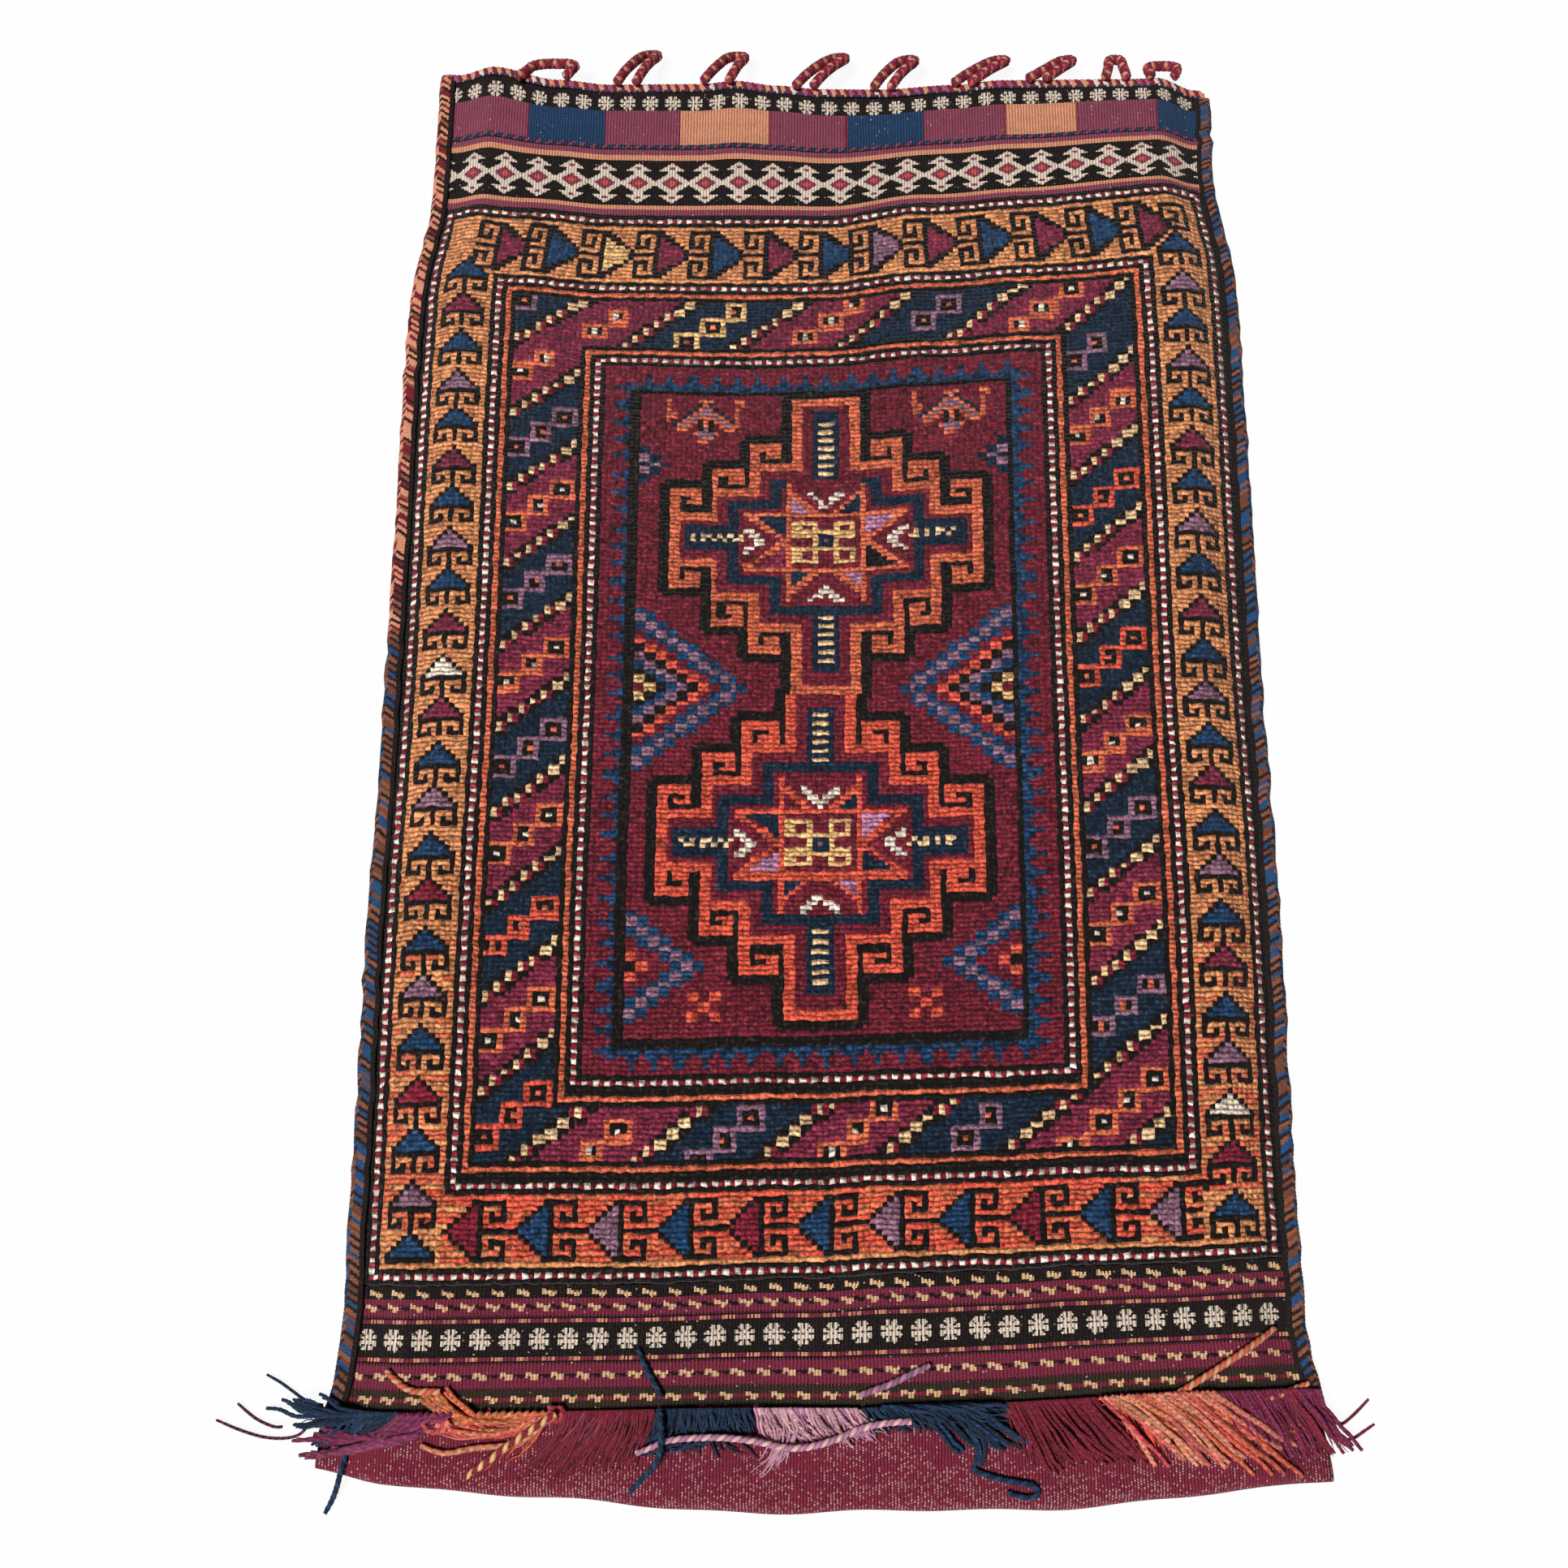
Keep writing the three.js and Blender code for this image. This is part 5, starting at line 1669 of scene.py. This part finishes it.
def plied(paths: Array, thick: Array, first: Array, second: Array, rng: np.random.Generator,
          pitch: float, sides: int) -> Skin:
    """Two-ply yarn along paths: the radius swells twice round each section, and the swells turn along it.

    Args:
        paths: Paths of all yarns, yarn by point by 3.
        thick: Thickness of each yarn.
        first: Colour of each yarn's one ply.
        second: Colour of each yarn's other ply.
        rng: Source of chance.
        pitch: Length of a whole turn of the plies.
        sides: Points round the yarn.

    Returns:
        One skin of all the yarns.
    """
    count, rings = paths.shape[:2]
    steps = np.linalg.norm(np.diff(paths, axis=1), axis=2)
    run = np.concatenate([np.zeros((count, 1)), np.cumsum(steps, axis=1)], axis=1)[..., None] / pitch
    angle = (np.arange(sides) / sides)[None, None]
    turn = 2.0 * (angle - run) + rng.random((count, 1, 1))
    lobe = np.abs(np.sin(np.pi * turn)) ** 0.8
    taper = np.clip(1.15 - 0.35 * np.linspace(0.0, 1.0, rings) ** 3, 0.0, 1.0)[None, :, None]
    radius = thick[:, None, None] / 2.0 * (0.68 + 0.34 * lobe) * taper
    ply = np.mod(np.floor(turn), 2)[:, :-1]
    tones = picked(ply == 0, first[:, None, None], second[:, None, None])
    # Painted shade in the grooves between the plies and painted highlight on their round backs, times a
    # chance lightness for each step.
    tones = tones * (0.45 + 0.8 * lobe[:, :-1, :, None]) * (0.9 + 0.2 * rng.random((count, rings - 1, 1, 1)))
    return tubes(paths, radius, tones)


@dataclass
class LooseCord:
    """One loose cord by its thickness, dyes and route; the route is the same as its solid's."""

    name: str
    thick: float
    dyes: tuple[Dye, Dye]
    route: tuple

    def path(self) -> Array:
        """Even points along the cord."""
        length = line_length(spline(np.array(self.route), 60))
        return spline(np.array(self.route), max(40, int(length / 0.9)))

    def skin(self, path: Array) -> Skin:
        """Two-ply skin of the cord."""
        rng = np.random.default_rng(len(self.name) * 31 + len(path))
        first, second = (dye.tone[None] for dye in self.dyes)
        return plied(path[None], np.array([self.thick]), first, second, rng, self.thick * 2.1, 14)


NAVIES = (Dye.NAVY, Dye.BLUE)
LILACS = (Dye.LILAC, Dye.PINK)
ORANGES = (Dye.ORANGE, Dye.SALMON)
EMBERS = (Dye.CORAL, Dye.ORANGE)
ROSES = (Dye.ROSY, Dye.SALMON)
MAROONS = (Dye.MAROON, Dye.WINE)
PLUMS = (Dye.GRAPE, Dye.PLUM)


CORDS = (
    LooseCord("cord_navy_up", 3.6, NAVIES, (
        (-96, -69.5, 20.6), (-98, -66, 20.3), (-101, -61, 20.2), (-104.5, -55.5, 20.2), (-107.5, -50, 20.2),
        (-111, -42.5, 20.2))),
    LooseCord("cord_navy_down", 3.6, NAVIES, (
        (-96, -77.5, 27.4), (-95.5, -83, 28.6), (-95, -90, 29.2), (-95.5, -98, 28), (-98, -105, 25),
        (-103, -111, 22.9), (-109, -117, 21.6), (-114, -122.5, 19.3))),
    LooseCord("cord_lilac", 4.2, LILACS, (
        (52, -81, 24.9), (38, -82, 25), (23, -85, 25), (8, -91, 25), (-8, -95.5, 24.6), (-22, -96, 24.6),
        (-38, -93, 24.8), (-56, -91, 25), (-74, -91, 25), (-92, -93, 24.9), (-102, -97, 24.7),
        (-110, -100, 24.4))),
    LooseCord("cord_lilac_up", 4.2, (Dye.LILAC, Dye.MAUVE), (
        (22, -67.3, 20.8), (30, -64.5, 20.5), (40, -61, 20.5), (52, -55.5, 20.5), (64, -50, 20.5))),
    LooseCord("cord_navy_loop", 3.6, NAVIES, (
        (88, -107.5, 19.1), (96, -110.5, 19.1), (106, -113, 19.1), (116, -114.6, 19.1), (124, -116.5, 19.1),
        (126, -120.5, 19.1), (119, -122.5, 19.1), (108, -120, 19.1))),
    LooseCord("cord_orange_up", 4.2, ORANGES, (
        (204, -67.4, 20.9), (212, -64, 20.5), (222, -58.5, 20.5), (236, -50.5, 20.5), (250, -42, 20.5),
        (262, -35, 17.4), (274, -28, 11.1))),
    LooseCord("cord_orange_side", 4.2, ORANGES, (
        (262, -67.2, 18.6), (268, -66.6, 16.3), (275, -65, 12.5), (283, -62.5, 10.9), (292, -59, 10.8))),
    LooseCord("cord_orange_left", 4.2, (Dye.SALMON, Dye.ORANGE), (
        (-228, -67.3, 21), (-236, -67.2, 21), (-244, -67.2, 21), (-250, -65, 20.7), (-256, -61, 19.8),
        (-262, -56, 18.1))),
    LooseCord("cord_orange_down", 4.2, (Dye.MAROON, Dye.BUTTER), (
        (-158, -78, 26.6), (-166, -83.5, 26), (-176, -90, 25.2), (-187, -97.5, 25), (-197, -105, 24.6),
        (-205, -110.5, 21.6), (-211, -115, 19.6))),
    LooseCord("cord_navy_corner", 3.6, NAVIES, (
        (-283.6, -100.8, 10.2), (-285.5, -108, 9.8), (-287, -115, 9.6), (-289, -122, 6.9), (-292, -129, 2.9),
        (-296, -137, 2))),
    LooseCord("cord_stray_left_1", 2.0, NAVIES, (
        (-302.4, -77, 3.6), (-308, -76, 3.8), (-314, -74, 3.2), (-321, -70, 2.2), (-330, -64.5, 1.7),
        (-339, -60, 1.6))),
    LooseCord("cord_stray_left_2", 2.0, (Dye.NAVY, Dye.PLUM), (
        (-325.6, -89.2, 5.1), (-330, -89.4, 3.8), (-336, -88, 2.2), (-343, -85, 1.6), (-349, -81, 1.6),
        (-355, -76.5, 1.6))),
    LooseCord("cord_stray_left_3", 2.0, (Dye.NAVY, Dye.PLUM), (
        (-309.4, -89.1, 9.9), (-314, -93, 7), (-322, -95.5, 3.6), (-336, -95.5, 1.7), (-352, -91.5, 1.6),
        (-367, -86, 1.6))),
    LooseCord("cord_stray_right_1", 2.0, (Dye.PLUM, Dye.MAROON), (
        (297.8, -79.8, 10.7), (305, -81, 8.6), (311, -82, 6.1), (317.5, -79, 2.8), (324, -74, 1.6),
        (330, -68.5, 1.6))),
    LooseCord("cord_stray_right_2", 2.0, (Dye.PLUM, Dye.MAROON), (
        (302.7, -89.2, 10.3), (308, -90, 8.2), (313, -91, 5.7), (319, -90, 2.7), (325.5, -86.5, 1.6),
        (332, -82.5, 1.6))),
)


class Spin(Enum):
    """Two-ply cord or unspun strands."""

    PLIED = "plied"
    LOOSE = "loose"


@dataclass(frozen=True)
class Lock:
    """A lock of fringe: strands rooted along the knotted line that follow one way with small differences."""

    roots: tuple[float, float]
    way: tuple[tuple[float, float], ...]
    count: int
    thick: float
    spin: Spin
    dyes: tuple[Dye, Dye]
    fan: float = 6.0
    lift: float = 3.0
    gather: float = 0.0


@dataclass
class Fringe:
    """One bundle of fringe, made of locks."""

    name: str
    locks: tuple[Lock, ...]

    POINTS = 34
    LOOSE_SIDES = 5

    def paths(self, lock: Lock, rng: np.random.Generator) -> Array:
        """Paths of a lock's strands: root plus the lock's way, fanned, curled and laid on the bed."""
        spun = lock.spin is Spin.PLIED
        share = (np.arange(lock.count) + 0.5) / lock.count
        root = lock.roots[0] + (lock.roots[1] - lock.roots[0]) * share
        way = spline(np.array([(dx, dy, 0.0) for dx, dy in lock.way]), self.POINTS)[:, :2]
        along = np.linspace(0.0, 1.0, self.POINTS)[None]
        scale = 1.0 - (0.14 if spun else 0.34) * rng.random(lock.count)[:, None]
        drawn = (root.mean() - root)[:, None] * lock.gather * smooth(along * 1.6)
        fan = (share - 0.5 + 0.5 * rng.normal(size=lock.count) * 0.5)[:, None] * lock.fan * along ** 1.4
        curl = rng.random(lock.count)[:, None] * 6.28
        sway = np.sin(along * 5.0 + curl) * (1.2 if spun else 2.2) * along
        fine = np.sin(along * 15.0 + curl * 3.0) * 0.8 * along
        x = root[:, None] + drawn + way[None, :, 0] * scale + fan + sway
        y = -PLAN.lower_band + way[None, :, 1] * scale + 0.5 * fan + fine
        wave = PLAN.wave(x, np.full_like(x, -PLAN.lower_band))
        y = y + wave * (1.0 - along)
        layer = rng.random(lock.count)[:, None] * lock.lift * np.sin(np.pi * np.clip(along * 1.15, 0.0, 1.0))
        knot = (2.6 + PLAN.front - PLAN.back) * (1.0 - smooth(along * 4.0))
        onto = smooth((y + PLAN.lower_band - wave + 5.0) / 5.0)
        z = PLAN.yarn_bed(x, y) + lock.thick / 2.0 + 0.5 + layer + np.maximum(knot, 1.6 * onto)
        return np.stack([x, y, z], axis=-1)

    def strands(self, lock: Lock, rng: np.random.Generator) -> Skin:
        """Skin of one lock, its strands blended from its two dyes and thinner toward their tips."""
        paths = self.paths(lock, rng)
        count, steps = lock.count, self.POINTS - 1
        thick = lock.thick * (0.85 + 0.3 * rng.random(count))
        blend = rng.random((count, 1)) ** 0.8
        mixed = lock.dyes[0].tone * blend + lock.dyes[1].tone * (1.0 - blend)
        first = mixed * (0.7 + 0.6 * rng.random((count, 1)))
        second = mixed * (0.6 + 0.5 * rng.random((count, 1)))
        if lock.spin is Spin.PLIED:
            return plied(paths, thick, first, second, rng, lock.thick * 2.2, 8)
        taper = 1.0 - 0.75 * np.linspace(0.0, 1.0, self.POINTS)[None, :, None] ** 2
        radius = thick[:, None, None] / 2.0 * taper * np.ones((1, 1, self.LOOSE_SIDES))
        tones = first[:, None, None] * (0.8 + 0.4 * rng.random((count, steps, 1, 1)))
        return tubes(paths, radius, np.broadcast_to(tones, (count, steps, self.LOOSE_SIDES, 3)))

    def skin(self) -> Skin:
        """All locks of the bundle, joined."""
        rng = np.random.default_rng(sum(map(ord, self.name)))
        return Skin.joined([self.strands(lock, rng) for lock in self.locks])


P, L = Spin.PLIED, Spin.LOOSE
FRINGE = (
    Fringe("fringe_navy_left", (
        Lock((-293, -250), ((0, 0), (-18, -4), (-36, -4), (-50, -1)), 12, 2.9, P, NAVIES, 12.0, 4.0, 0.5),
        Lock((-291, -250), ((0, 0), (-14, -9), (-32, -14)), 14, 2.8, P, NAVIES, 10.0, 4.0, 0.3),
        Lock((-290, -252), ((0, -1), (-9, -14), (-18, -27)), 9, 2.6, P, NAVIES, 9.0, 2.0, 0.2),
        Lock((-293, -250), ((0, 0), (-10, -8), (-22, -15)), 44, 1.4, L, NAVIES, 12.0),
    )),
    Fringe("fringe_plum_left", (
        Lock((-252, -218), ((0, 0), (-18, -14), (-44, -20), (-74, -21)), 8, 3.1, P, PLUMS, 9.0, 5.0, 0.6),
        Lock((-250, -218), ((0, 0), (-20, -16), (-46, -26), (-70, -31)), 7, 3.1, P,
             (Dye.GRAPE, Dye.ROSE), 8.0, 5.0, 0.5),
        Lock((-250, -218), ((0, 0), (-18, -12), (-44, -20)), 16, 1.4, L, PLUMS, 14.0, 4.0, 0.4),
    )),
    Fringe("fringe_orange_left", (
        Lock((-204, -158), ((0, 0), (-12, -6), (-30, -8), (-44, -3), (-56, 5)), 10, 3.3, P,
             (Dye.APRICOT, Dye.ORANGE), 7.0, 5.0, 0.8),
        Lock((-172, -156), ((0, -3), (-16, -11), (-40, -15), (-66, -9)), 8, 3.4, P,
             (Dye.ROSY, Dye.APRICOT), 10.0, 5.0, 0.3),
        Lock((-170, -156), ((0, -3), (-18, -13), (-42, -18), (-60, -14)), 4, 3.2, P,
             (Dye.ROSY, Dye.CORAL), 10.0, 6.0, 0.3),
        Lock((-168, -156), ((0, -3), (-20, -12), (-44, -15), (-64, -10)), 30, 1.6, L, ROSES, 14.0, 5.0),
        Lock((-163, -161), ((0, -4), (-17, -19), (-41, -24), (-66, -29), (-84, -27)), 1, 3.6, P,
             ROSES, 0.0, 1.0),
        Lock((-224, -220), ((0, -5), (-5, -13), (-12, -9), (-9, -5)), 4, 4.2, P, ROSES, 5.0, 5.0),
        Lock((-178, -164), ((0, -8), (-9, -22), (-22, -36)), 16, 1.5, L, (Dye.ORANGE, Dye.CORAL), 12.0, 3.0),
        Lock((-163, -155), ((0, 3), (2, -4), (-3, -12)), 10, 2.8, P, (Dye.ROSY, Dye.MAROON), 5.0, 4.0),
    )),
    Fringe("fringe_maroon_tuft", (
        Lock((-154, -100), ((0, 0), (-3, -14), (-10, -28), (-18, -42)), 120, 1.5, L, MAROONS, 12.0, 5.0),
        Lock((-150, -108), ((0, 0), (-10, -18), (-22, -32)), 40, 1.3, L, (Dye.ROSE, Dye.WINE), 14.0, 5.0),
    )),
    Fringe("fringe_navy_tuft", (
        Lock((-98, -43), ((0, 0), (0, -10), (-1, -21)), 130, 1.8, L, NAVIES, 8.0, 6.0),
        Lock((-96, -62), ((0, -1), (-3, -18), (-14, -26), (-28, -27)), 26, 1.5, L, NAVIES, 8.0, 6.0),
        Lock((-84, -52), ((0, -1), (0, -20), (4, -31)), 22, 1.5, L, (Dye.NAVY, Dye.NAVY), 16.0, 4.0, 0.3),
        Lock((-70, -52), ((0, -1), (6, -22), (18, -32)), 6, 1.8, L, (Dye.NAVY, Dye.NAVY), 16.0, 3.0),
    )),
    Fringe("fringe_lilac_tuft", (
        Lock((-41, 20), ((0, 0), (4, -10), (13, -22)), 100, 1.9, L, LILACS, 10.0, 6.0),
        Lock((-36, -18), ((0, 0), (6, -16), (2, -30), (-4, -39)), 22, 1.7, L, LILACS, 12.0, 5.0, 0.6),
        Lock((-38, 16), ((0, 0), (7, -12), (18, -22)), 16, 2.4, P, LILACS, 8.0, 6.0),
        Lock((4, 22), ((0, -1), (8, -10), (14, -20)), 20, 1.5, L, (Dye.PINK, Dye.PINK), 10.0, 5.0),
    )),
    Fringe("fringe_navy_right", (
        Lock((23, 88), ((0, 0), (8, -7), (22, -13)), 120, 1.8, L, NAVIES, 12.0, 6.0),
        Lock((34, 84), ((0, 1), (18, -1), (42, -6)), 60, 1.6, L, NAVIES, 14.0, 6.0),
        Lock((56, 96), ((0, -2), (12, -14), (28, -25)), 10, 2.9, P, NAVIES, 8.0, 5.0),
        Lock((78, 92), ((0, -2), (4, -14), (8, -26), (6, -35)), 4, 3.0, P, NAVIES, 2.0, 2.0, 0.6),
    )),
    Fringe("fringe_maroon_right", (
        Lock((110, 162), ((0, 0), (9, -12), (24, -26), (34, -32)), 34, 2.5, P, MAROONS, 12.0, 6.0),
        Lock((108, 162), ((0, 0), (8, -14), (22, -30)), 90, 1.4, L, MAROONS, 16.0, 4.0),
        Lock((120, 138), ((0, 0), (4, -20), (6, -40)), 10, 1.2, L, MAROONS, 10.0, 2.0),
    )),
    Fringe("fringe_orange_right", (
        Lock((162, 232), ((0, 0), (16, -10), (34, -22), (46, -30)), 22, 3.4, P, (Dye.SALMON, Dye.ROSY), 14.0,
             6.0),
        Lock((164, 220), ((0, 0), (20, -7), (46, -16)), 12, 3.2, P, (Dye.SALMON, Dye.ORANGE), 9.0, 6.0),
        Lock((204, 230), ((0, 0), (22, -10), (46, -14), (62, -14)), 4, 3.2, P, ORANGES, 5.0, 5.0),
        Lock((200, 228), ((0, 0), (24, -18), (44, -30), (60, -40)), 4, 3.2, P, EMBERS, 6.0, 5.0),
        Lock((166, 228), ((0, 0), (14, -12), (30, -28)), 40, 1.6, L, EMBERS, 12.0, 4.0),
    )),
    Fringe("fringe_plum_right", (
        Lock((228, 298), ((0, 0), (3, -6), (7, -12)), 90, 1.9, L, (Dye.GRAPE, Dye.WINE), 6.0, 4.0),
        Lock((232, 292), ((0, 0), (12, -12), (26, -27)), 24, 2.5, P, (Dye.MAROON, Dye.GRAPE), 12.0, 6.0),
        Lock((236, 288), ((0, 0), (12, -14), (24, -32)), 44, 1.5, L, (Dye.WINE, Dye.PLUM), 14.0, 4.0),
    )),
)


@dataclass
class Studio:
    """White ground, soft light and the camera."""

    place: tuple[float, float, float] = (-0.0130, -0.3795, 1.00545)
    right: tuple[float, float, float] = (0.999937, 0.007581, -0.007700)
    up: tuple[float, float, float] = (-0.005016, 0.956959, 0.290206)
    forward: tuple[float, float, float] = (-0.009573, 0.290147, -0.956931)
    lens: float = 35.456
    size: float = 4.0
    level: float = -0.0006
    paper: float = 0.93
    glow: float = 0.93
    sky: float = 0.04
    sun: float = 3.2

    def build(self) -> None:
        """Set up camera, floor, lamp and world."""
        scene = bpy.context.scene
        camera = bpy.data.objects.new("camera", bpy.data.cameras.new("camera"))
        camera.data.sensor_width = 36.0
        camera.data.lens = self.lens
        rows = [(right, up, -forward, place) for right, up, forward, place in zip(
            self.right, self.up, self.forward, self.place)]
        camera.matrix_world = Matrix((*rows, (0.0, 0.0, 0.0, 1.0)))
        scene.collection.objects.link(camera)
        scene.camera = camera
        scene.view_settings.view_transform = "Standard"
        self.floor(scene)
        self.light(scene)

    def floor(self, scene: bpy.types.Scene) -> None:
        """A wide white floor whose own colour is lifted to white for the camera and for gloss."""
        mesh = bpy.data.meshes.new("floor")
        ends = ((-1, -1), (1, -1), (1, 1), (-1, 1))
        corners = [(x * self.size, y * self.size, self.level) for x, y in ends]
        mesh.from_pydata(corners, [], [(0, 1, 2, 3)])
        floor = bpy.data.objects.new("floor", mesh)
        scene.collection.objects.link(floor)
        material = bpy.data.materials.new("floor_white")
        material.use_nodes = True
        wiring = Wiring(material.node_tree)
        nodes = material.node_tree.nodes
        shader = nodes["Principled BSDF"]
        grain = wiring.noise(wiring.add("ShaderNodeTexCoord").outputs["Object"], 9.0)
        wiring.feed(shader.inputs["Base Color"], wiring.grey(grain * 0.02 + self.paper))
        shader.inputs["Roughness"].default_value = 0.9
        glow = wiring.add("ShaderNodeEmission", Color=(1.0, 1.0, 1.0, 1.0), Strength=1.0)
        path = wiring.add("ShaderNodeLightPath").outputs
        seen = Signal(wiring, path["Is Camera Ray"]).at_least(path["Is Glossy Ray"])
        seen = seen.at_least(path["Is Transmission Ray"])
        mix = wiring.add("ShaderNodeMixShader", i0=seen * self.glow, i1=shader.outputs[0], i2=glow.outputs[0])
        wiring.feed(nodes["Material Output"].inputs["Surface"], mix.outputs[0])
        mesh.materials.append(material)

    def light(self, scene: bpy.types.Scene) -> None:
        """A faint even sky that shows as white, and one wide soft sun from the upper left."""
        lamp = bpy.data.lights.new("soft_sun", "SUN")
        lamp.energy = self.sun
        lamp.angle = 0.35
        sun = bpy.data.objects.new("soft_sun", lamp)
        sun.rotation_euler = (0.32, -0.36, 0.0)
        scene.collection.objects.link(sun)
        world_light = bpy.data.worlds.new("studio")
        scene.world = world_light
        world_light.use_nodes = True
        wiring = Wiring(world_light.node_tree)
        background = world_light.node_tree.nodes["Background"]
        background.inputs["Color"].default_value = (1.0, 1.0, 1.0, 1.0)
        path = wiring.add("ShaderNodeLightPath").outputs
        seen = Signal(wiring, path["Is Camera Ray"]).at_least(path["Is Transmission Ray"])
        wiring.feed(background.inputs["Strength"], seen * 0.96 + self.sky)


def main() -> None:
    """Build the studio, then the cords, the cloths, the edges, the loops and the fringe."""
    logging.basicConfig(level=logging.INFO, format="%(name)s %(message)s")
    Studio().build()
    workshop = Workshop(Wardrobe())
    for cord in CORDS:
        path = cord.path()
        slot = {"navy": "wool_navy", "lilac": "wool_lilac", "orange": "wool_orange"}.get(
            cord.name.split("_")[1], "wool_plum" if "right" in cord.name else "wool_navy")
        piece = workshop.place(f"yarn_{cord.name}", cord.skin(path), "wool_yarn", cord.name, slot)
    for loop in LOOPS:
        node = f"closure_loop_{loop.number}"
        path = loop.path()
        piece = workshop.place(f"braid_{node}", loop.skin(path), "wool_braid", node, "wool_braid")
    wraps = EdgeWraps()
    edges = [workshop.place(f"wrapped_{name}", skin, wool, node, slot) for name, skin, wool, node, slot in (
        ("side_left", wraps.side(Side.LEFT), "wool_binding", "side_binding_left", "wool_binding"),
        ("side_right", wraps.side(Side.RIGHT), "wool_binding", "side_binding_right", "wool_binding"),
        ("mouth_front", wraps.mouth_front(), "wool_overcast", "mouth_edge_front", "wool_overcast"),
        ("mouth_back", wraps.mouth_back(), "wool_overcast", "mouth_edge_back", "wool_plain_weave"))]
    bundles = [workshop.place(f"strands_{bundle.name}", bundle.skin(), "wool_yarn", bundle.name,
                              f"wool_{bundle.name.split('_')[1]}", rooted=True) for bundle in FRINGE]
    front, back = FrontCloth(), BackCloth()
    pile, upper, lower, apron, sheet = (
        workshop.place(f"woven_{name}", skin, slot, node, slot) for name, skin, slot, node in (
            ("pile_panel", front.pile(), "wool_pile", "pile_panel"),
            ("upper_band", front.upper(), "wool_flatweave", "upper_flatweave"),
            ("lower_band", front.lower(), "wool_flatweave", "lower_flatweave"),
            ("apron", back.apron(), "wool_plain_weave", "apron_cloth"),
            ("back", back.back(), "wool_plain_weave", "back_cloth")))


if __name__ == "__main__":
    main()
